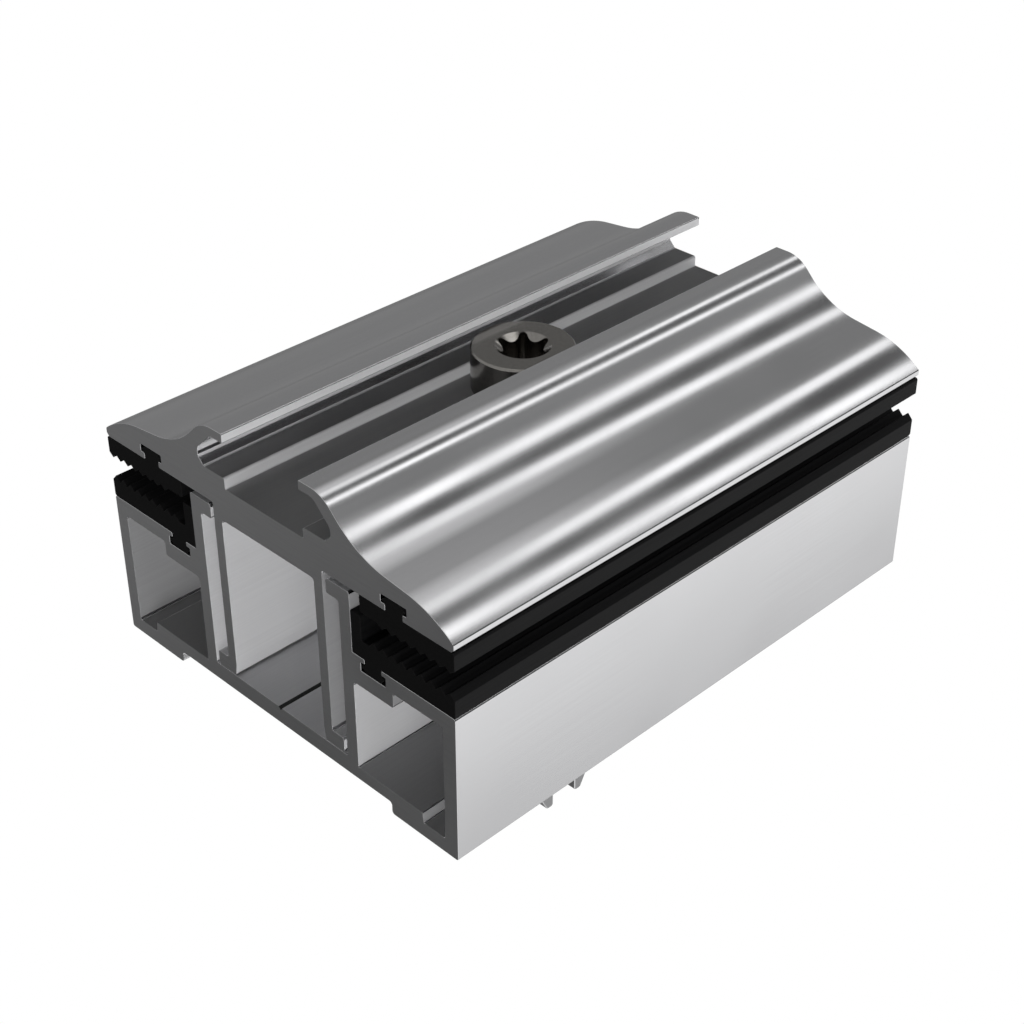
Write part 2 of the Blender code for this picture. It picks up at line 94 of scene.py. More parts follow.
Corner = tuple[float, float, float]
Triple = tuple[float, float, float]


class Slot(Enum):
    """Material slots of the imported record."""

    ALUMINIUM = "aluminium"
    RUBBER = "rubber"
    DARK_STEEL = "dark_steel"


class Body(Enum):
    """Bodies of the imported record."""

    BASE = "base"
    CLAMP_TOP = "clamp_top"
    SCREW = "screw"
    NUT = "nut"


class Face(IntEnum):
    """Material slots of a piece's own mesh."""

    OUTER = 0
    CUT = 1
    INNER = 2
    # Painted shade: half-colour aluminium on faces in recesses and under overhangs
    PAINTED_SHADE = 3
    # Painted shade: near-black in the V groove of the channel floor
    MARK = 4


Finish = Callable[[float, float, bool], Face]

# Outlines and solids


@dataclass
class Outline:
    """A closed outline that keeps, for each point, the way its two sides face.

    Travelled anticlockwise, the outside lies to the right.
    """

    points: list[Vector]
    before: list[Vector]
    after: list[Vector]

    @classmethod
    def rounded(cls, corners: list[Corner]) -> Outline:
        """Outline through corners given as (across, up, radius).

        Args:
            corners: The corners in order; two arcs that would meet on a side both shrink to fit.

        Returns:
            The outline, anticlockwise.
        """
        places = [Vector((across, up)) for across, up, _ in corners]
        radii = [radius for _, _, radius in corners]
        turned = sum(a.cross(b) for a, b in zip(places, places[1:] + places[:1]))
        if turned < 0:
            places.reverse()
            radii.reverse()
        count = len(places)
        reaches = []
        for index, here in enumerate(places):
            angle = (places[index - 1] - here).angle(places[(index + 1) % count] - here)
            reaches.append(radii[index] / math.tan(angle / 2.0))
        outline = cls([], [], [])
        for index, here in enumerate(places):
            previous, following = places[index - 1], places[(index + 1) % count]
            if reaches[index] == 0:
                outline.add(here, right_of(here - previous), right_of(following - here))
                continue
            room = min(
                (previous - here).length / (reaches[index] + reaches[index - 1]),
                (following - here).length / (reaches[index] + reaches[(index + 1) % count]),
            )
            reach = min(1.0, ARC_ROOM_SHARE * room) * reaches[index]
            outline.add_arc(previous, here, following, reach)
        return outline

    def add(self, point: Vector, before: Vector, after: Vector) -> None:
        """Appends one point.

        Args:
            point: Where it is.
            before: Normal of the side that ends there.
            after: Normal of the side that starts there.
        """
        self.points.append(point)
        self.before.append(before)
        self.after.append(after)

    def add_arc(self, previous: Vector, here: Vector, following: Vector, reach: float) -> None:
        """Appends the arc that rounds one corner.

        Args:
            previous: The corner before.
            here: The corner that is rounded.
            following: The corner after.
            reach: How far from the corner the arc starts and ends.
        """
        back, ahead = previous - here, following - here
        half_angle = back.angle(ahead) / 2.0
        radius = reach * math.tan(half_angle)
        start = here + back.normalized() * reach
        inward = (back.normalized() + ahead.normalized()).normalized()
        centre = here + inward * radius / math.sin(half_angle)
        sweep = math.pi - 2.0 * half_angle
        turn = math.copysign(sweep, back.cross(ahead))
        share = max(-1.0, 1.0 - ARC_SAGITTA / radius)
        steps = max(2, math.ceil(sweep / (2.0 * math.acos(share))), math.ceil(sweep / ARC_TURN))
        for step in range(steps + 1):
            turned = Matrix.Rotation(-turn * step / steps, 2)
            normal = turned @ right_of(-back)
            self.add(centre + turned @ (start - centre), normal, normal)

    def turned_over(self, across: float, up: float, outward: float = 1.0) -> Outline:
        """The outline travelled the other way, with its places and normals multiplied by signs.

        Args:
            across: Sign along X, -1 to mirror it to the other side of the screw axis.
            up: Sign along Z, -1 to turn it upside down.
            outward: Sign of the normals alone.

        Returns:
            The new outline.
        """
        signs = Vector((across, up))
        over = Outline([], [], [])
        for point, before, after in zip(reversed(self.points), reversed(self.before), reversed(self.after)):
            over.add(point * signs, after * signs * outward, before * signs * outward)
        return over

    def hole(self) -> Outline:
        """The same outline travelled clockwise, as the wall of a hole."""
        return self.turned_over(1.0, 1.0, -1.0)

    def mirrored(self) -> Outline:
        """The outline mirrored to the other side of the screw axis, anticlockwise again."""
        return self.turned_over(-1.0, 1.0)

    def moved(self, across: float, up: float) -> Outline:
        """The outline in another place."""
        step = Vector((across, up))
        return Outline([point + step for point in self.points], self.before, self.after)

    def inset(self, distance: float) -> list[Vector]:
        """Its points moved into the material, with mitred corners.

        Args:
            distance: How far each side moves.

        Returns:
            The moved points.
        """
        moved = []
        for point, before, after in zip(self.points, self.before, self.after):
            moved.append(point - (before + after) * distance / (1.0 + before.dot(after)))
        return moved


def right_of(direction: Vector) -> Vector:
    """Unit vector to the right of a direction of travel."""
    return Vector((direction.y, -direction.x)).normalized()


def mirrored_corners(half: list[Corner]) -> list[Corner]:
    """Corners of a symmetric outline from those on its positive side, in order."""
    return half + [(-across, up, radius) for across, up, radius in reversed(half) if across != 0]


class Solid:
    """Faces with the normal of each of their corners, which become one mesh."""

    def __init__(self) -> None:
        """Starts with no faces."""
        self.points: list[Vector] = []
        self.faces: list[list[int]] = []
        self.normals: list[list[Vector]] = []
        self.slots: list[int] = []

    def add_points(self, points: list[Vector]) -> list[int]:
        """Adds points.

        Args:
            points: The points.

        Returns:
            Their numbers in the solid.
        """
        first = len(self.points)
        self.points.extend(points)
        return list(range(first, len(self.points)))

    def add_face(self, corners: list[int], normals: list[Vector], slot: int = 0) -> None:
        """Adds a face; corners that share a point count once.

        Args:
            corners: Numbers of its points, anticlockwise from outside.
            normals: The normal at each of them.
            slot: Its material slot.
        """
        kept = [i for i, corner in enumerate(corners) if corner != corners[i - 1]]
        if len(set(corners[i] for i in kept)) < 3:
            return
        self.faces.append([corners[i] for i in kept])
        self.normals.append([normals[i] for i in kept])
        self.slots.append(slot)

    def mesh(self, name: str) -> bpy.types.Mesh:
        """The finished mesh, smooth, with its corner normals as an attribute that booleans keep.

        Args:
            name: Name of the mesh.

        Returns:
            The mesh.
        """
        mesh = bpy.data.meshes.new(name)
        mesh.from_pydata([tuple(point) for point in self.points], [], self.faces)
        mesh.update()
        mesh.polygons.foreach_set("use_smooth", [True] * len(self.faces))
        mesh.polygons.foreach_set("material_index", self.slots)
        values = [value for corners in self.normals for normal in corners for value in normal]
        attribute = mesh.attributes.new("custom_normal", "FLOAT_VECTOR", "CORNER")
        attribute.data.foreach_set("vector", values)
        return mesh


def extruded_solid(
    outer: Outline, holes: list[Outline], length: float, ease: float, finish: Finish
) -> Solid:
    """An outline with holes, extruded along Y, with eased edges round both cut ends.

    Args:
        outer: The outline in X and Z.
        holes: Outlines of the holes through it.
        length: Length along Y, half to each side of the origin.
        ease: Radius of the eased edges.
        finish: Gives the material slot of a side at a place in X and Z, flat or not.

    Returns:
        The solid.
    """
    stations = []
    for step in range(EASE_STEPS + 1):
        tilt = math.pi / 2.0 * step / EASE_STEPS
        along = ease * (1.0 - math.cos(tilt)) - length / 2.0
        stations.append((along, ease * (1.0 - math.sin(tilt)), tilt))
    stations += [(-along, inset, math.pi - tilt) for along, inset, tilt in reversed(stations)]
    solid = Solid()
    front: list[list[Vector]] = []
    front_ids: list[int] = []
    back_ids: list[int] = []
    for loop in [outer] + [hole.hole() for hole in holes]:
        rings = []
        for along, inset, _ in stations:
            rings.append(solid.add_points([Vector((p.x, along, p.y)) for p in loop.inset(inset)]))
        count = len(loop.points)
        for (near, far), (near_at, far_at) in zip(zip(rings, rings[1:]), zip(stations, stations[1:])):
            for index in range(count):
                following = (index + 1) % count
                middle = (loop.points[index] + loop.points[following]) / 2.0
                sides = (loop.after[index], loop.before[following])
                flat = sides[0].dot(sides[1]) > FLAT_COSINE
                near_normals = [tilted(side, near_at[2]) for side in sides]
                far_normals = [tilted(side, far_at[2]) for side in sides]
                solid.add_face(
                    [near[index], far[index], far[following], near[following]],
                    [near_normals[0], far_normals[0], far_normals[1], near_normals[1]],
                    finish(*middle, flat),
                )
        front.append([solid.points[i].xzy for i in rings[0]])
        front_ids += rings[0]
        back_ids += rings[-1]
    toward = Vector((0.0, -1.0, 0.0))
    for triangle in tessellate_polygon(front):
        a, b, c = (solid.points[front_ids[i]] for i in triangle)
        if (b - a).cross(c - a).y > 0:
            triangle = triangle[::-1]
        solid.add_face([front_ids[i] for i in triangle], [toward] * 3, Face.CUT)
        solid.add_face([back_ids[i] for i in reversed(triangle)], [-toward] * 3, Face.CUT)
    return solid


def one_finish(across: float, up: float, flat: bool) -> Face:
    """For a piece with one finish all round."""
    return Face.OUTER


def tilted(side: Vector, tilt: float) -> Vector:
    """Normal on an eased edge: tilt 0 faces -Y, a quarter turn faces outward and half a turn faces +Y."""
    return Vector((side.x * math.sin(tilt), -math.cos(tilt), side.y * math.sin(tilt)))


def turned_solid(section: Outline, steps: int = ROUND_STEPS) -> Solid:
    """Solid of revolution about Z of a closed half section, drawn as (radius, height) from the axis.

    Args:
        section: The half section, anticlockwise, with its points on the axis included.
        steps: Number of steps round.

    Returns:
        The solid.
    """
    solid = Solid()
    angles = [2.0 * math.pi * step / steps for step in range(steps)]
    rings = []
    for point in section.points:
        if point.x <= 0:
            rings.append(solid.add_points([Vector((0.0, 0.0, point.y))]) * steps)
            continue
        rings.append(solid.add_points([spun(point, angle) for angle in angles]))
    for index, ring in enumerate(rings):
        following = (index + 1) % len(rings)
        sides = (section.after[index], section.before[following])
        if section.points[index].x <= 0 and section.points[following].x <= 0:
            continue
        for step in range(steps):
            turn = (step + 1) % steps
            solid.add_face(
                [ring[step], ring[turn], rings[following][turn], rings[following][step]],
                spun_pair(sides, angles[step], angles[turn]),
            )
    return solid


def spun(part: Vector, angle: float) -> Vector:
    """A (radius, height) pair turned about Z."""
    return Vector((part.x * math.cos(angle), part.x * math.sin(angle), part.y))


def spun_pair(sides: tuple[Vector, Vector], start: float, end: float) -> list[Vector]:
    """Normals at the four corners of a step round, from those of its lower and upper side."""
    return [spun(sides[0], start), spun(sides[0], end), spun(sides[1], end), spun(sides[1], start)]


def new_object(name: str, mesh: bpy.types.Mesh, *looks: bpy.types.Material) -> bpy.types.Object:
    """Links a new object to the scene.

    Args:
        name: Name of the object.
        mesh: Its mesh.
        looks: The mesh's materials in the order of its slots.

    Returns:
        The object.
    """
    for look in looks:
        mesh.materials.append(look)
    item = bpy.data.objects.new(name, mesh)
    bpy.context.scene.collection.objects.link(item)
    return item


def combined(item: bpy.types.Object, operation: str, tools: list[bpy.types.Mesh]) -> None:
    """Applies exact booleans to an object and puts right the normals that they turn over.

    Args:
        item: The object that is changed.
        operation: DIFFERENCE or UNION.
        tools: Meshes to take away or to add, in the item's own frame.
    """
    helpers = []
    for mesh in tools:
        helper = new_object(mesh.name, mesh)
        modifier = item.modifiers.new(mesh.name, "BOOLEAN")
        modifier.operation = operation
        modifier.solver = "EXACT"
        modifier.object = helper
        helpers.append(helper)
    graph = bpy.context.evaluated_depsgraph_get()
    made = bpy.data.meshes.new_from_object(item.evaluated_get(graph))
    item.modifiers.clear()
    item.data = made
    made.name = item.name
    for helper in helpers:
        bpy.data.objects.remove(helper, do_unlink=True)
    attribute = made.attributes["custom_normal"]
    for face in made.polygons:
        for corner in face.loop_indices:
            normal = attribute.data[corner].vector
            if normal.dot(face.normal) < 0:
                attribute.data[corner].vector = -normal


# Finishes


class Nodes:
    """A new node material with its Principled shader, and short ways to add to it."""

    def __init__(self, name: str) -> None:
        """Makes the material.

        Args:
            name: Its name.
        """
        self.material = bpy.data.materials.new(name)
        self.material.use_nodes = True
        self.tree = self.material.node_tree
        self.shader = self.tree.nodes["Principled BSDF"]

    def set(self, **values: float | tuple) -> None:
        """Sets shader inputs; an underscore in a name stands for a space."""
        for name, value in values.items():
            self.shader.inputs[name.replace("_", " ")].default_value = value

    def noise(self, scale: Triple, detail: float) -> bpy.types.NodeSocket:
        """Noise in the piece's own coordinates.

        Args:
            scale: Features per metre along X, Y and Z.
            detail: Octaves of finer noise.

        Returns:
            The noise value's socket.
        """
        place = self.tree.nodes.new("ShaderNodeTexCoord")
        mapping = self.tree.nodes.new("ShaderNodeMapping")
        mapping.inputs["Scale"].default_value = scale
        noise = self.tree.nodes.new("ShaderNodeTexNoise")
        noise.inputs["Scale"].default_value = 1.0
        noise.inputs["Detail"].default_value = detail
        self.tree.links.new(place.outputs["Object"], mapping.inputs["Vector"])
        self.tree.links.new(mapping.outputs["Vector"], noise.inputs["Vector"])
        return noise.outputs["Fac"]

    def spread(self, value: bpy.types.NodeSocket, low: float, high: float) -> bpy.types.NodeSocket:
        """Spreads the middle of a noise, where most of it lies, between two values.

        Args:
            value: The noise value's socket.
            low: What its low values give.
            high: What its high values give.

        Returns:
            The spread value's socket.
        """
        spread = self.tree.nodes.new("ShaderNodeMapRange")
        spread.inputs["From Min"].default_value = NOISE_LOW
        spread.inputs["From Max"].default_value = NOISE_HIGH
        spread.inputs["To Min"].default_value = low
        spread.inputs["To Max"].default_value = high
        self.tree.links.new(value, spread.inputs["Value"])
        return spread.outputs["Result"]

    def tint(self, value: bpy.types.NodeSocket, dark: Triple, light: Triple) -> None:
        """Colours the shader between two colours.

        Args:
            value: The noise value's socket.
            dark: Colour where the noise is low.
            light: Colour where the noise is high.
        """
        ramp = self.tree.nodes.new("ShaderNodeValToRGB")
        ramp.color_ramp.elements[0].color = (*dark, 1.0)
        ramp.color_ramp.elements[1].color = (*light, 1.0)
        ramp.color_ramp.elements[0].position = NOISE_LOW
        ramp.color_ramp.elements[1].position = NOISE_HIGH
        self.tree.links.new(value, ramp.inputs["Fac"])
        self.tree.links.new(ramp.outputs["Color"], self.shader.inputs["Base Color"])

    def bump(
        self, value: bpy.types.NodeSocket, height: float, under: bpy.types.Node | None = None
    ) -> bpy.types.Node:
        """Adds relief.

        Args:
            value: The socket that gives the relief's shape.
            height: Its height in metres.
            under: An earlier bump node whose relief it lies over.

        Returns:
            The bump node.
        """
        bump = self.tree.nodes.new("ShaderNodeBump")
        bump.inputs["Distance"].default_value = height
        self.tree.links.new(value, bump.inputs["Height"])
        if under:
            self.tree.links.new(under.outputs["Normal"], bump.inputs["Normal"])
        self.tree.links.new(bump.outputs["Normal"], self.shader.inputs["Normal"])
        return bump


def shades(colour: Triple, change: float) -> tuple[Triple, Triple]:
    """A darker and a lighter shade of a colour.

    Args:
        colour: The colour between them.
        change: Share of the colour by which each differs from it.

    Returns:
        The darker and the lighter shade.
    """
    dark = tuple(part * (1.0 - change) for part in colour)
    light = tuple(min(1.0, part * (1.0 + change)) for part in colour)
    return dark, light


@dataclass(frozen=True)
class MetalFinish:
    """A bare metal with a grain that runs one way."""

    name: str
    colour: Triple
    roughness: tuple[float, float]
    grain: Triple
    relief: float
    shade_change: float
    metallic: float = 1.0
    cloud: Triple = (60.0, 60.0, 60.0)

    def material(self) -> bpy.types.Material:
        """The finish as a node material, with grain in its colour, roughness and relief.

        Returns:
            The material.
        """
        nodes = Nodes(self.name)
        nodes.set(Metallic=self.metallic)
        grain = nodes.noise(self.grain, 3.0)
        cloud = nodes.noise(self.cloud, 1.0)
        nodes.tint(grain, *shades(self.colour, self.shade_change))
        nodes.tree.links.new(nodes.spread(cloud, *self.roughness), nodes.shader.inputs["Roughness"])
        nodes.bump(grain, self.relief)
        return nodes.material


@dataclass(frozen=True)
class RubberFinish:
    """Black extruded rubber: faint lines along it and a fine matt grain."""

    name: str
    colour: Triple
    roughness: tuple[float, float]
    specular: float
    relief: float = 0.004 * MM
    grain: Triple = (9000.0, 9000.0, 9000.0)
    lines: Triple = (4000.0, 60.0, 4000.0)
    shade_change: float = 0.25

    def material(self) -> bpy.types.Material:
        """The finish as a node material.

        Returns:
            The material.
        """
        nodes = Nodes(self.name)
        nodes.set(Specular_IOR_Level=self.specular)
        grain = nodes.noise(self.grain, 2.0)
        lines = nodes.noise(self.lines, 2.0)
        nodes.tint(lines, *shades(self.colour, self.shade_change))
        nodes.tree.links.new(nodes.spread(grain, *self.roughness), nodes.shader.inputs["Roughness"])
        fine = nodes.bump(grain, self.relief)
        nodes.bump(lines, self.relief, fine)
        return nodes.material


# Features per metre of the lines that the die draws along an extrusion
DRAWN_GRAIN = (5200.0, 24.0, 5200.0)

EXTRUDED = MetalFinish(
    name="aluminium_extruded",
    colour=(0.62, 0.62, 0.63),
    roughness=(0.17, 0.23),
    grain=DRAWN_GRAIN,
    relief=0.0006 * MM,
    shade_change=0.015,
)
INNER = MetalFinish(
    name="aluminium_inner",
    colour=(0.62, 0.62, 0.63),
    roughness=(0.42, 0.5),
    grain=DRAWN_GRAIN,
    relief=0.001 * MM,
    shade_change=0.03,
    metallic=0.12,
)
# Sawn ends: real saw grain and roughness, with the colour darkened to about half of the extruded aluminium's
# as painted shade on the end faces
SAWN_PAINTED_SHADE = MetalFinish(
    name="aluminium_sawn_painted_shade",
    colour=(0.335, 0.335, 0.34),
    roughness=(0.38, 0.46),
    grain=(160.0, 6000.0, 6000.0),
    relief=0.002 * MM,
    shade_change=0.05,
)
# Painted shade: the aluminium at half its colour, for chamber walls, the faces by flanges, feet and legs, and
# the screw channel's ledges and floor, where shade falls
PAINTED_SHADE = MetalFinish(
    name="aluminium_painted_shade",
    colour=(0.31, 0.31, 0.315),
    roughness=(0.42, 0.5),
    grain=DRAWN_GRAIN,
    relief=0.001 * MM,
    shade_change=0.04,
    metallic=0.12,
)
# Painted shade: near-black aluminium in the shallow V groove along the channel floor, where shade falls
MARK = MetalFinish(
    name="aluminium_painted_groove_shade",
    colour=(0.02, 0.02, 0.02),
    roughness=(0.6, 0.7),
    grain=DRAWN_GRAIN,
    relief=0.001 * MM,
    shade_change=0.1,
    metallic=0.5,
)
BLACKENED = MetalFinish(
    name="steel_blackened",
    colour=(0.26, 0.25, 0.235),
    roughness=(0.14, 0.2),
    grain=(2600.0, 2600.0, 2600.0),
    relief=0.001 * MM,
    shade_change=0.08,
)
PAD_RUBBER = RubberFinish(
    name="rubber_black", colour=(0.005, 0.005, 0.0052), roughness=(0.5, 0.65), specular=0.09
)
CUT_RUBBER = RubberFinish(
    name="rubber_cut", colour=(0.003, 0.003, 0.003), roughness=(0.6, 0.75), specular=0.08
)


@dataclass
class Finishes:
    """The node materials of the object, made once."""

    extruded: bpy.types.Material
    sawn_painted_shade: bpy.types.Material
    inner: bpy.types.Material
    painted_shade: bpy.types.Material
    mark: bpy.types.Material
    steel: bpy.types.Material
    rubber: bpy.types.Material
    rubber_cut: bpy.types.Material

    @classmethod
    def made(cls) -> Finishes:
        """Makes every material."""
        finishes = (EXTRUDED, SAWN_PAINTED_SHADE, INNER, PAINTED_SHADE, MARK, BLACKENED, PAD_RUBBER, CUT_RUBBER)
        return cls(*(finish.material() for finish in finishes))


def keep_sharp(mesh: bpy.types.Mesh) -> None:
    """Marks the edges whose two faces differ in normal there, so that the renderer keeps both normals.

    Args:
        mesh: The mesh, with its corner normals as an attribute.
    """
    attribute = mesh.attributes["custom_normal"]
    met: dict[int, dict[int, Vector]] = {}
    for face in mesh.polygons:
        corners = list(face.loop_indices)
        for here, there in zip(corners, corners[1:] + corners[:1]):
            loop = mesh.loops[here]
            ends = {mesh.loops[i].vertex_index: attribute.data[i].vector.copy() for i in (here, there)}
            other = met.setdefault(loop.edge_index, ends)
            if any(normal.dot(other[vertex]) < SHARP_COSINE for vertex, normal in ends.items()):
                mesh.edges[loop.edge_index].use_edge_sharp = True


def settle(item: bpy.types.Object, node: str, body: Body) -> None:
    """Puts a finished piece in the place of its CAD node.

    Args:
        item: The piece, in place at rest.
        node: The CAD node it stands for.
        body: The body it rides on.
    """
    keep_sharp(item.data)
    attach(item, body.value)
    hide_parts(node)
    item.data.calc_loop_triangles()
    LOG.info("%s: %d triangles, rides on %s", item.name, len(item.data.loop_triangles), body.value)


# The clamp's pieces


@dataclass(frozen=True)
class Groove:
    """The T-groove that holds a pad's root."""

    centre: float
    lip: float
    depth: float
    mouth: float = 2.7 * MM
    width: float = 4.0 * MM
    radius: float = 0.15 * MM

    def corners(self, face: float, way: float = 1.0) -> list[Corner]:
        """Corners of the groove from its outer side.

        Args:
            face: Height of the face it is cut in.
            way: 1 where it goes down from the face and -1 where it goes up.

        Returns:
            The corners, as a part of an outline's.
        """
        mouth, room = self.mouth / 2.0, self.width / 2.0
        lip, floor = face - way * self.lip, face - way * self.depth
        side = [(mouth, face), (mouth, lip), (room, lip), (room, floor)]
        both = side + [(-across, up) for across, up in reversed(side)]
        return [(self.centre + across, up, self.radius) for across, up in both]


@dataclass(kw_only=True)
class LongPiece:
    """What the two extrusions and their pads have in common: overall sizes and the radii of their corners."""

    length: float = 80.0 * MM
    half_width: float = 30.0 * MM
    fine: float = 0.15 * MM
    edge: float = 0.3 * MM
    soft: float = 0.45 * MM
    ease: float = 0.05 * MM


@dataclass(kw_only=True)
class LowerBody(LongPiece):
    """The lower extrusion: two chambers, a central channel with hooked walls, and two feet."""

    seat: float = 19.7 * MM
    foot_width: float = 10.7 * MM
    foot_depth: float = 1.6 * MM
    floor_top: float = 4.0 * MM
    groove_half_width: float = 0.32 * MM
    groove_depth: float = 0.35 * MM
    wall_inner: float = 12.0 * MM
    wall_outer: float = 13.85 * MM
    hook_end: float = 10.0 * MM
    hook_bottom: float = 25.6 * MM
    hook_top: float = 27.6 * MM
    outer_wall: float = 2.0 * MM
    chamber_floor: float = 3.4 * MM
    pocket_floor: float = 2.0 * MM
    pocket_width: float = 3.4 * MM
    pocket_draft: float = 0.2 * MM
    seat_thickness: float = 2.1 * MM
    rib_thickness: float = 4.1 * MM
    rib_width: float = 6.45 * MM
    hole_radius: float = 4.5 * MM
    groove: Groove = Groove(centre=17.2 * MM, lip=0.65 * MM, depth=1.85 * MM)

    def outline(self) -> Outline:
        """The outer outline of the extrusion.

        Returns:
            The outline, anticlockwise.
        """
        foot = self.half_width - self.foot_width
        half = [
            (foot, self.foot_depth, self.soft),
            (foot, 0.0, self.soft),
            (self.half_width, 0.0, self.edge),
            (self.half_width, self.seat, self.edge),
            *self.groove.corners(self.seat),
            (self.wall_outer, self.seat, self.fine),
            (self.wall_outer, self.hook_top, self.edge),
            (self.hook_end, self.hook_top, self.soft),
            (self.hook_end, self.hook_bottom, self.edge),
            (self.wall_inner, self.hook_bottom, self.edge),
            (self.wall_inner, self.floor_top, self.edge),
            (self.groove_half_width, self.floor_top, 0.0),
            (0.0, self.floor_top - self.groove_depth, 0.0),
        ]
        return Outline.rounded(mirrored_corners(half))

    def chamber(self) -> Outline:
        """The closed chamber under the right seat.

        Returns:
            Its outline, anticlockwise.
        """
        outer = self.half_width - self.outer_wall
        pocket = outer - self.pocket_width
        ceiling = self.seat - self.seat_thickness
        rib_end, rib_bottom = self.wall_outer + self.rib_width, self.seat - self.rib_thickness
        return Outline.rounded([
            (self.wall_outer, self.chamber_floor, self.fine),
            (pocket - self.pocket_draft, self.chamber_floor, self.fine),
            (pocket, self.pocket_floor, self.fine),
            (outer, self.pocket_floor, self.edge),
            (outer, ceiling, self.edge),
            (rib_end, ceiling, self.edge),
            (rib_end, rib_bottom, self.edge),
            (self.wall_outer, rib_bottom, self.soft),
        ])

    def finish(self, across: float, up: float, flat: bool) -> Face:
        """Finish of a side: inner in the channel, painted shade in the chambers and by the flange or foot,
        near-black painted shade in the V groove of the channel floor.

        Args:
            across: The middle of the side in X.
            up: The middle of the side in Z.
            flat: Whether the side is flat, not a step of an arc.

        Returns:
            The material slot.
        """
        beside = abs(across)
        # Painted shade, near-black, in the V groove of the channel floor
        if beside < self.groove_half_width and self.foot_depth < up < self.floor_top:
            return Face.MARK
        if not flat:
            return Face.OUTER
        in_walls = beside < self.wall_outer + TOUCH
        by_flange = in_walls and beside > self.wall_outer - TOUCH and up > self.seat
        by_foot = beside < self.half_width - self.foot_width + TOUCH and 0.0 < up < self.foot_depth
        above_floor = up > self.pocket_floor - TOUCH
        below_seat = up < self.seat - self.seat_thickness + TOUCH
        within = not in_walls and beside < self.half_width - self.outer_wall + TOUCH
        # Painted shade in the chambers and on the faces by the flange and by the foot
        if by_flange or by_foot or (above_floor and below_seat and within):
            return Face.PAINTED_SHADE
        return Face.INNER if in_walls and above_floor else Face.OUTER

    def build(self, looks: Finishes) -> None:
        """Makes the extrusion, drills its floor and dresses it.

        Args:
            looks: The finishes.
        """
        right = self.chamber()
        solid = extruded_solid(self.outline(), [right, right.mirrored()], self.length, self.ease, self.finish)
        item = new_object(
            "lower_extrusion", solid.mesh("lower_extrusion"),
            looks.extruded, looks.sawn_painted_shade, looks.inner, looks.painted_shade, looks.mark,
        )
        hole = drill("floor_hole", self.hole_radius, self.foot_depth, self.floor_top)
        combined(item, "DIFFERENCE", [hole])
        settle(item, "lower_body", Body.BASE)


def drill(name: str, radius: float, bottom: float, top: float) -> bpy.types.Mesh:
    """A round cutter on the screw axis.

    Args:
        name: Name of its mesh.
        radius: Radius of the hole.
        bottom: Height of the hole's lower end, which the cutter passes by an overrun.
        top: Height of its upper end, passed the same way.

    Returns:
        The cutter's mesh.
    """
    low, high = bottom - OVERRUN, top + OVERRUN
    corners = [(0.0, low, 0.0), (radius, low, 0.0), (radius, high, 0.0), (0.0, high, 0.0)]
    return turned_solid(Outline.rounded(corners)).mesh(name)


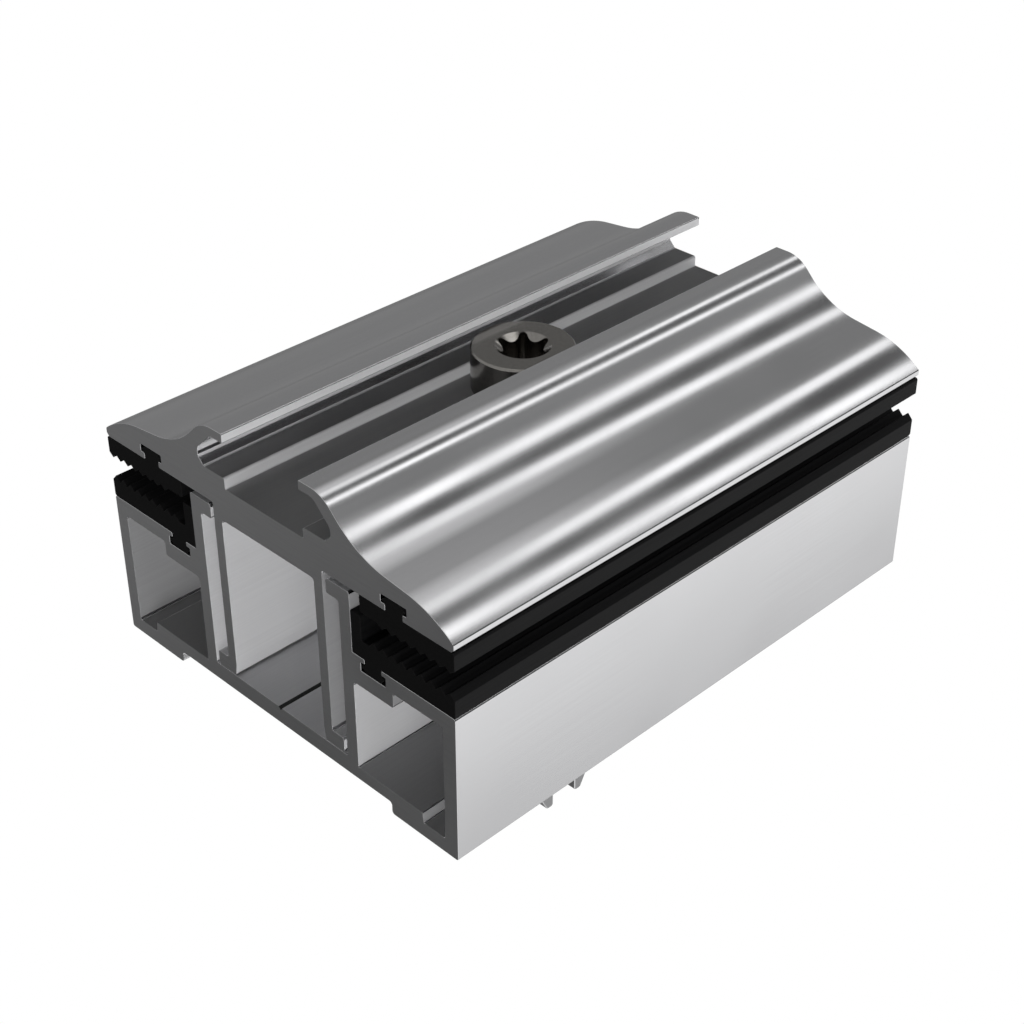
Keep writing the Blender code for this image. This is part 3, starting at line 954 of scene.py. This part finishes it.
@dataclass(kw_only=True)
class UpperClamp(LongPiece):
    """The upper extrusion: two curved wings, the screw channel with its lips, and two legs with toes."""

    wing_bottom: float = 28.2 * MM
    web_bottom: float = 26.45 * MM
    channel_floor: float = 31.1 * MM
    ledge_top: float = 32.5 * MM
    lip_bottom: float = 37.1 * MM
    lip_top: float = 38.3 * MM
    channel: float = 6.75 * MM
    lip_end: float = 6.5 * MM
    lip_length: float = 3.8 * MM
    undercut_depth: float = 4.65 * MM
    undercut_flat: float = 2.25 * MM
    undercut_slope: float = 2.55 * MM
    undercut_chamfer: float = 0.95 * MM
    undercut_radius: float = 1.1 * MM
    crest_radius: float = 4.7 * MM
    valley: Corner = (15.5 * MM, 33.1 * MM, 12.3 * MM)
    brow: Corner = (26.81 * MM, 31.76 * MM, 14.5 * MM)
    tip_thickness: float = 1.07 * MM
    tip_chamfer: float = 0.42 * MM
    leg_outer: float = 9.5 * MM
    leg_inner: float = 8.0 * MM
    toe_end: float = 11.5 * MM
    toe_bottom: float = 4.1 * MM
    toe_thickness: float = 2.1 * MM
    toe_draft: float = 0.25 * MM
    toe_draft_height: float = 1.8 * MM
    hole_radius: float = 4.5 * MM
    groove: Groove = Groove(centre=21.0 * MM, lip=0.85 * MM, depth=1.9 * MM)

    def outline(self) -> Outline:
        """The outline of the whole extrusion.

        Returns:
            The outline, anticlockwise.
        """
        undercut = self.channel + self.undercut_depth
        half = [
            (self.channel, self.channel_floor, self.fine),
            (self.channel, self.ledge_top, self.edge),
            (undercut - self.undercut_chamfer, self.ledge_top, self.soft),
            (undercut, self.ledge_top + self.undercut_chamfer, self.soft),
            (undercut, self.lip_bottom - self.undercut_slope, self.undercut_radius),
            (self.lip_end + self.undercut_flat, self.lip_bottom, self.undercut_radius),
            (self.lip_end, self.lip_bottom, self.fine),
            (self.lip_end, self.lip_top, self.fine),
            (self.lip_end + self.lip_length, self.lip_top, self.crest_radius),
            self.valley,
            self.brow,
            (self.half_width, self.wing_bottom + self.tip_thickness, self.edge),
            (self.half_width, self.wing_bottom + self.tip_chamfer, self.fine),
            (self.half_width - self.tip_chamfer, self.wing_bottom, 0.0),
            *self.groove.corners(self.wing_bottom, -1.0),
            (self.leg_outer, self.wing_bottom, self.edge),
            (self.leg_outer, self.toe_bottom + self.toe_thickness, self.edge),
            (self.toe_end, self.toe_bottom + self.toe_thickness, self.edge),
            (self.toe_end, self.toe_bottom, self.soft),
            (self.leg_inner + self.toe_draft, self.toe_bottom, self.edge),
            (self.leg_inner, self.toe_bottom + self.toe_draft_height, 0.0),
            (self.leg_inner, self.web_bottom, self.soft),
        ]
        return Outline.rounded(mirrored_corners(half))

    def finish(self, across: float, up: float, flat: bool) -> Face:
        """Finish of a side: inner below the wings and in the screw channel, painted shade on its levels and
        by a leg.

        Args:
            across: The middle of the side in X.
            up: The middle of the side in Z.
            flat: Whether the side is flat, not a step of an arc.

        Returns:
            The material slot.
        """
        beside = abs(across)
        if up < self.wing_bottom - self.edge:
            # Painted shade on each leg's outer face, under the wing
            by_leg = abs(beside - self.leg_outer) < TOUCH
            return (Face.PAINTED_SHADE if by_leg else Face.INNER) if flat else Face.OUTER
        # Painted shade on the ledges and the floor of the screw channel
        if flat and min(abs(up - self.ledge_top), abs(up - self.channel_floor)) < TOUCH:
            return Face.PAINTED_SHADE
        wall = flat and beside > self.channel and up > self.ledge_top + TOUCH
        below_lip = up < self.lip_bottom + self.fine / 4.0
        in_undercut = below_lip and beside < self.channel + self.undercut_depth + TOUCH
        inside = in_undercut or beside < self.lip_end + TOUCH
        return Face.INNER if inside and not wall else Face.OUTER

    def build(self, looks: Finishes) -> None:
        """Makes the extrusion, drills its web and dresses it.

        Args:
            looks: The finishes.
        """
        solid = extruded_solid(self.outline(), [], self.length, self.ease, self.finish)
        item = new_object(
            "upper_extrusion", solid.mesh("upper_extrusion"),
            looks.extruded, looks.sawn_painted_shade, looks.inner, looks.painted_shade,
        )
        hole = drill("web_hole", self.hole_radius, self.web_bottom, self.channel_floor)
        combined(item, "DIFFERENCE", [hole])
        settle(item, "upper_clamp", Body.CLAMP_TOP)


@dataclass(kw_only=True)
class PadPair(LongPiece):
    """Two toothed rubber strips with barbed roots, one to each side of the screw axis."""

    name: str
    body: Body
    groove: Groove
    seat: float
    inner: float
    thickness: float
    tooth_depth: float
    tooth_count: int
    upside_down: bool
    flange: tuple[float, float] | None = None
    gap: float = 0.05 * MM
    tooth_pitch: float = 1.475 * MM
    tooth_edge: float = 0.7 * MM
    tooth_radius: float = 0.07 * MM
    root_clearance: float = 0.1 * MM
    root_end: float = 1.2 * MM
    barb_rise: float = 0.35 * MM
    ease: float = 0.06 * MM

    def outline(self) -> Outline:
        """The right pad's outline about its groove's mouth, with the root down.

        Returns:
            The outline, anticlockwise.
        """
        inner, outer = self.inner - self.groove.centre, self.half_width - self.groove.centre
        valley = self.thickness - self.tooth_depth
        neck = self.groove.mouth / 2.0 - self.root_clearance
        barb = self.groove.width / 2.0 - self.root_clearance
        root = [
            (neck, self.gap, self.fine),
            (neck, -self.groove.lip - self.root_clearance, self.fine),
            (barb, -self.groove.lip - self.barb_rise, self.tooth_radius),
            (self.root_end, self.root_clearance - self.groove.depth, self.fine),
        ]
        corners = [(inner, self.gap, self.fine)]
        if self.flange:
            height, width = self.flange
            corners += [(inner, height, self.fine), (inner + width, height, self.fine),
                        (inner + width, valley, self.edge)]
        else:
            corners.append((inner, valley, self.edge))
        first = outer - self.tooth_edge - (self.tooth_count - 1) * self.tooth_pitch
        for index in range(self.tooth_count):
            crest = first + index * self.tooth_pitch
            corners.append((crest - self.tooth_pitch / 2.0, valley, self.tooth_radius))
            corners.append((crest, self.thickness, self.tooth_radius))
        corners += [(outer, valley, self.tooth_radius), (outer, self.gap, self.edge)]
        corners += root + [(-across, up, radius) for across, up, radius in reversed(root)]
        return Outline.rounded(corners)

    def build(self, looks: Finishes) -> None:
        """Makes and dresses both pads.

        Args:
            looks: The finishes.
        """
        strip = self.outline()
        if self.upside_down:
            strip = strip.turned_over(1.0, -1.0)
        right = strip.moved(self.groove.centre, self.seat)
        for side, outline in (("right", right), ("left", right.mirrored())):
            name = f"{self.name}_strip_{side}"
            mesh = extruded_solid(outline, [], self.length, self.ease, one_finish).mesh(name)
            item = new_object(name, mesh, looks.rubber, looks.rubber_cut)
            settle(item, f"{self.name}_{side}", self.body)


@dataclass
class Thread:
    """A metric thread on the screw axis whose ridge passes the origin's height at angle 0."""

    pitch: float = 1.25 * MM
    crest: float = 3.9 * MM
    root: float = 3.17 * MM
    crest_width: float = 0.156 * MM
    flank: float = math.radians(30.0)
    crest_gap_share: float = 2.0
    root_gap_share: float = 3.8
    steps: int = 64

    def rod(self, bottom: float, top: float, chamfer: float, clearance: float = 0.0) -> Solid:
        """A rod with the thread on it.

        Args:
            bottom: Height of its lower end.
            top: Height of its upper end.
            chamfer: Height of the chamfer at the lower end.
            clearance: How far the flanks stand proud, for the cutter of a nut's bore; crest and root
                stand proud by their shares of it.

        Returns:
            The solid.
        """
        slope = math.tan(self.flank)
        crest = self.crest + self.crest_gap_share * clearance
        root = self.root + self.root_gap_share * clearance
        half_crest = self.crest_width / 2.0 + clearance - self.crest_gap_share * clearance * slope
        half_root = half_crest + (crest - root) * slope
        profile = [(-half_root, root), (-half_crest, crest), (half_crest, crest), (half_root, root)]
        first = math.floor(bottom / self.pitch) - 1
        last = math.ceil(top / self.pitch) + 1
        solid = Solid()
        rows: list[list[int]] = []
        ridges: list[list[tuple[float, float]]] = []
        for turn in range(first, last + 1):
            for offset, radius in profile:
                row, marks = [], []
                for step in range(self.steps):
                    angle = 2.0 * math.pi * step / self.steps
                    height = (turn + step / self.steps) * self.pitch + offset
                    held = min(max(height, bottom), top)
                    reach = radius if held == height else min(radius, root)
                    if chamfer:
                        reach = min(reach, crest - chamfer + held - bottom)
                    marks.append((reach, held))
                    row.append(Vector((reach * math.cos(angle), reach * math.sin(angle), held)))
                rows.append(solid.add_points(row))
                ridges.append(marks)
        for level in range(len(rows) - 1):
            for step in range(self.steps):
                turned = (step + 1) % self.steps
                lift = len(profile) if turned == 0 else 0
                if level + 1 + lift >= len(rows):
                    continue
                angles = [2.0 * math.pi * at / self.steps for at in (step, step + 1)]
                corners = [rows[level][step], rows[level + lift][turned], rows[level + 1 + lift][turned],
                           rows[level + 1][step]]
                low, high = ridges[level][step], ridges[level + 1][step]
                if math.dist(low, high) < NO_LENGTH:
                    continue
                side = right_of(Vector((high[0] - low[0], high[1] - low[1])))
                solid.add_face(corners, spun_pair((side, side), *angles))
        return solid


@dataclass
class Socket:
    """The six-lobed socket in the screw's head."""

    points: float = 6.75 * MM
    flats: float = 4.85 * MM
    lobe_radius: float = 0.55 * MM
    depth: float = 3.4 * MM
    lead_width: float = 6.9 * MM
    lead_depth: float = 0.72 * MM
    lead_point: float = 1.2 * MM
    lobes: int = 6
    turn: float = math.radians(15.0)
    arc_steps: int = 14

    def outline(self) -> Outline:
        """Small lobes at the points and tangent scallops between them.

        Returns:
            The outline, anticlockwise.
        """
        lobe_centre, flat = self.points / 2.0 - self.lobe_radius, self.flats / 2.0
        half_step = math.pi / self.lobes
        lean = lobe_centre * math.cos(half_step)
        above = self.lobe_radius**2 - lobe_centre**2 - flat**2 + 2.0 * flat * lean
        scallop_radius = above / (2.0 * (flat - lean - self.lobe_radius))
        scallop_centre = flat + scallop_radius
        lobe_sweep = math.atan2(
            scallop_centre * math.sin(half_step), scallop_centre * math.cos(half_step) - lobe_centre
        )
        scallop_sweep = lobe_sweep - half_step
        outline = Outline([], [], [])
        for index in range(self.lobes):
            axis = self.turn + 2.0 * half_step * index
            between = axis + half_step
            centre = polar(lobe_centre, axis)
            for step in range(self.arc_steps + 1):
                way = polar(1.0, axis - lobe_sweep + 2.0 * lobe_sweep * step / self.arc_steps)
                outline.add(centre + self.lobe_radius * way, way, way)
            centre = polar(scallop_centre, between)
            for step in range(1, self.arc_steps):
                angle = between + math.pi + scallop_sweep - 2.0 * scallop_sweep * step / self.arc_steps
                way = polar(1.0, angle)
                outline.add(centre + scallop_radius * way, -way, -way)
        return outline

    def cutters(self, top: float) -> list[bpy.types.Mesh]:
        """The prism and the lead-in cone that are taken out of the head.

        Args:
            top: Height of the head's top.

        Returns:
            The two meshes.
        """
        above = top + OVERRUN
        outline = self.outline()
        solid = Solid()
        low, high = (
            solid.add_points([Vector((p.x, p.y, height)) for p in outline.points])
            for height in (top - self.depth, above)
        )
        count = len(low)
        for index in range(count):
            following = (index + 1) % count
            here, there = (side.to_3d() for side in (outline.after[index], outline.before[following]))
            corners = [low[index], low[following], high[following], high[index]]
            solid.add_face(corners, [here, there, there, here])
        down = Vector((0.0, 0.0, -1.0))
        solid.add_face(low[::-1], [down] * count)
        solid.add_face(high, [-down] * count)
        lead = self.lead_width / 2.0
        slope = (lead - self.flats / 2.0) / self.lead_depth
        foot = top - (lead - self.lead_point) / slope
        cone = Outline.rounded([(0.0, foot, 0.0), (self.lead_point, foot, 0.0),
                                (lead + slope * (above - top), above, 0.0), (0.0, above, 0.0)])
        return [solid.mesh("socket_prism"), turned_solid(cone).mesh("socket_lead")]


def polar(distance: float, angle: float) -> Vector:
    """A point in the plane by distance and angle."""
    return Vector((distance * math.cos(angle), distance * math.sin(angle)))


@dataclass
class ClampScrew:
    """The M8 screw with its low cylinder head."""

    seat: float = 31.15 * MM
    length: float = 50.0 * MM
    head_radius: float = 6.4 * MM
    head_height: float = 5.45 * MM
    head_chamfer: float = 0.25 * MM
    neck_radius: float = 3.55 * MM
    neck_length: float = 1.6 * MM
    neck_cone: float = 0.5 * MM
    joint_step: float = 0.02 * MM
    joint_overlap: float = 0.3 * MM
    tip_chamfer: float = 1.0 * MM
    edge: float = 0.12 * MM

    def build(self, looks: Finishes, thread: Thread, socket: Socket) -> None:
        """Makes the head and the threaded shank as one solid, cuts the socket and dresses it.

        Args:
            looks: The finishes.
            thread: The shank's thread.
            socket: The head's socket.
        """
        top = self.seat + self.head_height
        low = self.seat - self.neck_length
        section = Outline.rounded([
            (0.0, low, 0.0),
            (thread.root - self.joint_step, low, 0.0),
            (self.neck_radius, low + self.neck_cone, 0.0),
            (self.neck_radius, self.seat, self.edge),
            (self.head_radius, self.seat, self.edge),
            (self.head_radius, top - self.head_chamfer, self.edge),
            (self.head_radius - self.head_chamfer, top, self.edge),
            (0.0, top, 0.0),
        ])
        item = new_object("clamp_bolt", turned_solid(section).mesh("clamp_bolt"), looks.steel)
        rod = thread.rod(self.seat - self.length, low + self.joint_overlap, self.tip_chamfer)
        close_ends(rod)
        combined(item, "UNION", [rod.mesh("bolt_thread")])
        combined(item, "DIFFERENCE", socket.cutters(top))
        settle(item, "clamp_screw", Body.SCREW)


def close_ends(rod: Solid) -> None:
    """Welds a rod's points that share a place and closes its two ends with flat faces.

    Args:
        rod: The solid, which is changed.
    """
    places: dict[tuple[int, int, int], int] = {}
    kept: list[Vector] = []
    renamed = []
    for point in rod.points:
        key = tuple(round(value / WELD) for value in point)
        if key not in places:
            places[key] = len(kept)
            kept.append(point)
        renamed.append(places[key])
    faces, normals, slots = rod.faces, rod.normals, rod.slots
    rod.points, rod.faces, rod.normals, rod.slots = kept, [], [], []
    middle = sum(point.z for point in kept) / len(kept)
    for face, corners, slot in zip(faces, normals, slots):
        rod.add_face([renamed[i] for i in face], corners, slot)
    onward: dict[int, int] = {}
    edges = {(face[i - 1], face[i]) for face in rod.faces for i in range(len(face))}
    for start, end in edges:
        if (end, start) not in edges:
            onward[end] = start
    while onward:
        first, following = onward.popitem()
        loop = [first]
        while following != first:
            loop.append(following)
            following = onward.pop(following)
        up = math.copysign(1.0, kept[first].z - middle)
        rod.add_face(loop, [Vector((0.0, 0.0, up))] * len(loop))


@dataclass
class SlotNut:
    """The click-in nut: a neck in the rail's slot, a threaded block under it and two springy legs."""

    top: float = -9.5 * MM
    length: float = 16.3 * MM
    height: float = 20.9 * MM
    neck_half: float = 5.3 * MM
    neck_height: float = 3.5 * MM
    half_width: float = 9.0 * MM
    block_height: float = 9.0 * MM
    block_chamfer: float = 2.2 * MM
    slot_half: float = 2.1 * MM
    leg_thickness: float = 3.2 * MM
    tip_thickness: float = 1.15 * MM
    lead_height: float = 3.9 * MM
    bore_depth: float = 15.5 * MM
    bore_clearance: float = 0.06 * MM
    edge: float = 0.3 * MM
    soft: float = 0.45 * MM
    ease: float = 0.15 * MM

    def outline(self) -> Outline:
        """Section across the rail, in Y and Z.

        Returns:
            The outline, anticlockwise.
        """
        leg = self.slot_half + self.leg_thickness
        block, low = self.top - self.block_height, self.top - self.height
        half = [
            (self.slot_half, block, self.soft),
            (self.slot_half, low, self.soft),
            (self.slot_half + self.tip_thickness, low, self.soft),
            (leg, low + self.lead_height, self.soft),
            (leg, block, self.soft),
            (self.half_width - self.block_chamfer, block, self.soft),
            (self.half_width, block + self.block_chamfer, self.soft),
            (self.half_width, self.top - self.neck_height, self.edge),
            (self.neck_half, self.top - self.neck_height, self.edge),
            (self.neck_half, self.top, self.edge),
        ]
        return Outline.rounded(mirrored_corners(half))

    def build(self, looks: Finishes, thread: Thread) -> None:
        """Makes the nut along X, cuts its threaded bore and dresses it.

        Args:
            looks: The finishes.
            thread: The screw's thread.
        """
        solid = extruded_solid(self.outline(), [], self.length, self.ease, one_finish)
        turn = Matrix.Rotation(math.pi / 2.0, 3, "Z")
        solid.points = [turn @ point for point in solid.points]
        solid.normals = [[turn @ normal for normal in corners] for corners in solid.normals]
        item = new_object("rail_nut", solid.mesh("rail_nut"), looks.extruded, looks.sawn_painted_shade)
        rod = thread.rod(self.top - self.bore_depth, self.top + OVERRUN, 0.0, self.bore_clearance)
        close_ends(rod)
        combined(item, "DIFFERENCE", [rod.mesh("nut_bore")])
        settle(item, "slot_nut", Body.NUT)


# Camera and studio


@dataclass
class PhotoCamera:
    """The camera that took the photograph, as fitted to the clamp's corners."""

    place: Triple = (138.181 * MM, -139.64 * MM, 142.073 * MM)
    azimuth: float = math.radians(45.093)
    elevation: float = math.radians(33.377)
    focal_share: float = 1856.765 / 1024.0
    sensor: float = 36.0
    nearest: float = 0.01
    farthest: float = 20.0

    def build(self) -> None:
        """Makes the camera the scene's own."""
        data = bpy.data.cameras.new("photo_camera")
        data.sensor_width = self.sensor
        data.lens = self.focal_share * self.sensor
        data.clip_start, data.clip_end = self.nearest, self.farthest
        camera = bpy.data.objects.new("photo_camera", data)
        bpy.context.scene.collection.objects.link(camera)
        level = math.cos(self.elevation)
        right, ahead = math.sin(self.azimuth) * level, math.cos(self.azimuth) * level
        back = Vector((right, -ahead, math.sin(self.elevation)))
        camera.location = self.place
        camera.rotation_mode = "QUATERNION"
        camera.rotation_quaternion = (-back).to_track_quat("-Z", "Y")
        bpy.context.scene.camera = camera


@dataclass(frozen=True)
class Card:
    """A long card in the wall of a tunnel round the Y axis, seen only in reflections.

    Its angles, in degrees, turn about Y from straight up toward +X. Its far end is turned on by an angle.
    """

    name: str
    start: float
    end: float
    level: float
    near: float = -14.0
    far: float = 14.0
    turn: float = 0.0
    radius: float = 3.0

    def build(self) -> None:
        """Makes the card."""
        steps = math.ceil((self.end - self.start) / CARD_STEP)
        points, faces = [], []
        for step in range(steps + 1):
            start = self.start + (self.end - self.start) * step / steps
            for along, degrees in ((self.near, start), (self.far, start + self.turn)):
                angle = math.radians(degrees)
                points.append((self.radius * math.sin(angle), along, self.radius * math.cos(angle)))
        for step in range(steps):
            faces.append((2 * step, 2 * step + 1, 2 * step + 3, 2 * step + 2))
        make_glowing(self.name, points, faces, self.level)


@dataclass(frozen=True)
class Flag:
    """A level rectangle over the floor, seen only in reflections."""

    name: str
    left: float
    right: float
    near: float
    far: float
    level: float

    def build(self, height: float) -> None:
        """Makes the flag at a height."""
        points = level_corners(self.left, self.right, self.near, self.far, height)
        make_glowing(self.name, points, [(0, 1, 2, 3)], self.level)


def level_corners(left: float, right: float, near: float, far: float, height: float) -> list[Triple]:
    """The corners of a level rectangle, anticlockwise from above."""
    return [(left, near, height), (right, near, height), (right, far, height), (left, far, height)]


def stage_surface(
    name: str, points: list[Triple], faces: list[tuple[int, ...]]
) -> tuple[bpy.types.Object, bpy.types.NodeTree, bpy.types.NodeSocket]:
    """Makes a surface of the studio with an empty material.

    Args:
        name: Name of the object and its material.
        points: Its points.
        faces: Its faces, as numbers of points.

    Returns:
        The object, its material's node tree and the socket that its surface shader goes into.
    """
    mesh = bpy.data.meshes.new(name)
    mesh.from_pydata(points, [], faces)
    mesh.update()
    material = bpy.data.materials.new(name)
    material.use_nodes = True
    tree = material.node_tree
    tree.nodes.clear()
    output = tree.nodes.new("ShaderNodeOutputMaterial")
    item = new_object(name, mesh, material)
    return item, tree, output.inputs["Surface"]


def make_glowing(name: str, points: list[Triple], faces: list[tuple[int, ...]], level: float) -> None:
    """Makes a surface of one light level that only reflections see.

    Args:
        name: Name of the object and its material.
        points: Its points.
        faces: Its faces, as numbers of points.
        level: How bright it is, where 1 is white.
    """
    item, tree, surface = stage_surface(name, points, faces)
    light = tree.nodes.new("ShaderNodeEmission")
    light.inputs["Strength"].default_value = level
    tree.links.new(light.outputs["Emission"], surface)
    item.visible_camera = False
    item.visible_diffuse = False
    item.visible_shadow = False
    item.visible_transmission = False


@dataclass(frozen=True)
class Lamp:
    """A soft square lamp, aimed at the origin, that reflections don't see."""

    name: str
    place: Triple
    size: float
    power: float
    shadows: bool = True

    def build(self) -> None:
        """Makes the lamp."""
        data = bpy.data.lights.new(self.name, "AREA")
        data.use_shadow = self.shadows
        data.shape = "SQUARE"
        data.size = self.size
        data.energy = self.power
        lamp = bpy.data.objects.new(self.name, data)
        bpy.context.scene.collection.objects.link(lamp)
        lamp.location = self.place
        lamp.rotation_mode = "QUATERNION"
        lamp.rotation_quaternion = (-Vector(self.place)).to_track_quat("-Z", "Y")
        lamp.visible_glossy = False


@dataclass
class Studio:
    """White surroundings, soft lamps, and cards whose reflections draw the bands on the metal."""

    cards: tuple[Card, ...] = (
        Card("card_left", -95.0, -47.0, 0.27),
        Card("card_left_upper", -47.0, -15.0, 0.25),
        Card("card_middle", -15.0, 16.0, 0.09),
        Card("card_right_upper", 16.0, 48.0, 0.27),
        Card("card_right", 48.0, 94.0, 0.05),
        Card("front", -75.0, 40.0, 0.6, far=-0.4, radius=2.85),
        Card("shoulder", -26.0, -10.0, 0.72, far=2.3, radius=2.95),
        Card("shoulder_edge", -33.0, -26.0, 0.45, far=2.3, radius=2.95),
        Card("strip_left_near", -11.0, 0.0, 1.3, far=1.75, radius=2.9),
        Card("strip_left_front", -11.5, -0.5, 1.35, near=1.75, far=2.2, turn=-1.7, radius=2.9),
        Card("strip_left_middle", -13.2, -2.2, 1.95, near=2.2, far=2.75, turn=-2.1, radius=2.9),
        Card("strip_left_back", -15.3, -4.3, 1.6, near=2.75, far=3.4, turn=-2.4, radius=2.9),
        Card("strip_left_far", -17.7, -6.7, 1.6, near=3.4, radius=2.9),
        Card("strip_right_near", 13.9, 24.6, 1.9, far=1.0, radius=2.9),
        Card("strip_right_middle", 13.9, 24.6, 1.9, near=1.0, far=3.6, turn=7.8, radius=2.9),
        Card("strip_right_far", 21.7, 32.4, 1.7, near=3.6, radius=2.9),
    )
    floor_height: float = -0.25
    floor_half: float = 4.0
    flag_height: float = -0.2
    flags: tuple[Flag, ...] = (
        Flag("flag_front_far", left=-1.6, right=-0.25, near=-1.6, far=-0.02, level=0.34),
        Flag("flag_front_near", left=-0.25, right=-0.02, near=-1.6, far=-0.02, level=0.13),
        Flag("flag_left", left=-3.9, right=-0.02, near=-0.02, far=3.9, level=0.21),
        Flag("flag_side_near", left=0.02, right=0.205, near=-0.02, far=1.6, level=0.7),
        Flag("flag_side_far", left=0.205, right=1.6, near=-0.02, far=1.6, level=1.15),
    )
    lamps: tuple[Lamp, ...] = (
        Lamp("lamp_front", place=(0.52, -0.44, -0.02), size=0.3, power=1.2),
        Lamp("lamp_side", place=(0.82, 0.0, 0.23), size=0.1, power=1.8),
        Lamp("lamp_fill", place=(1.0, 0.0, 0.02), size=0.3, power=4.3, shadows=False),
    )
    floor_shade: float = 0.8
    diffuse_level: float = 0.05

    def build(self) -> None:
        """Sets the world, the floor, the cards, the flags and the lamps."""
        self.set_world()
        self.lay_floor()
        for card in self.cards:
            card.build()
        for flag in self.flags:
            flag.build(self.flag_height)
        for lamp in self.lamps:
            lamp.build()

    def set_world(self) -> None:
        """White to the camera, reflections and transmission; a plain soft level for everything else."""
        world = bpy.data.worlds.new("studio")
        bpy.context.scene.world = world
        world.use_nodes = True
        tree = world.node_tree
        ground = tree.nodes["Background"]
        ground.inputs["Color"].default_value = (1.0, 1.0, 1.0, 1.0)
        level = tree.nodes.new("ShaderNodeMapRange")
        level.inputs["To Min"].default_value = self.diffuse_level
        level.inputs["To Max"].default_value = 1.0
        tree.links.new(seen_white(tree), level.inputs["Value"])
        tree.links.new(level.outputs["Result"], ground.inputs["Strength"])

    def lay_floor(self) -> None:
        """A white floor, far enough below the nut that no shadow shows on it."""
        half = self.floor_half
        points = level_corners(-half, half, -half, half, self.floor_height)
        _, tree, surface = stage_surface("floor", points, [(0, 1, 2, 3)])
        plain = tree.nodes.new("ShaderNodeBsdfDiffuse")
        plain.inputs["Color"].default_value = (self.floor_shade, self.floor_shade, self.floor_shade, 1.0)
        white = tree.nodes.new("ShaderNodeEmission")
        choice = tree.nodes.new("ShaderNodeMixShader")
        tree.links.new(seen_white(tree), choice.inputs[0])
        tree.links.new(plain.outputs["BSDF"], choice.inputs[1])
        tree.links.new(white.outputs["Emission"], choice.inputs[2])
        tree.links.new(choice.outputs["Shader"], surface)


def seen_white(tree: bpy.types.NodeTree) -> bpy.types.NodeSocket:
    """Tells camera, glossy and transmission rays from the others.

    Args:
        tree: The tree that the nodes are added to.

    Returns:
        The socket of a value of 1 for those rays and 0 for the others.
    """
    path = tree.nodes.new("ShaderNodeLightPath")
    value = path.outputs["Is Camera Ray"]
    for ray in ("Is Glossy Ray", "Is Transmission Ray"):
        larger = tree.nodes.new("ShaderNodeMath")
        larger.operation = "MAXIMUM"
        tree.links.new(value, larger.inputs[0])
        tree.links.new(path.outputs[ray], larger.inputs[1])
        value = larger.outputs["Value"]
    return value


def build_scene() -> None:
    """Builds every part of the scene in order."""
    bpy.context.scene.view_settings.view_transform = "Standard"
    PhotoCamera().build()
    Studio().build()
    looks = Finishes.made()
    lower = LowerBody()
    upper = UpperClamp()
    lower.build(looks)
    upper.build(looks)
    PadPair(
        name="pad_lower", body=Body.BASE, groove=lower.groove, seat=lower.seat,
        inner=lower.wall_outer + PadPair.gap, thickness=3.15 * MM, tooth_depth=0.75 * MM, tooth_count=9,
        upside_down=False, flange=(5.7 * MM, 1.6 * MM),
    ).build(looks)
    PadPair(
        name="pad_upper", body=Body.CLAMP_TOP, groove=upper.groove, seat=upper.wing_bottom,
        inner=15.5 * MM, thickness=2.8 * MM, tooth_depth=0.55 * MM, tooth_count=8, upside_down=True,
    ).build(looks)
    thread = Thread()
    ClampScrew().build(looks, thread, Socket())
    SlotNut().build(looks, thread)


def main() -> None:
    """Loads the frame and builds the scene."""
    logging.basicConfig(level=logging.INFO, format="%(name)s: %(message)s")
    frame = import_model()
    LOG.info("frame: %s", type(frame).__name__)
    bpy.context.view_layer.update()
    build_scene()


if __name__ == "__main__":
    main()
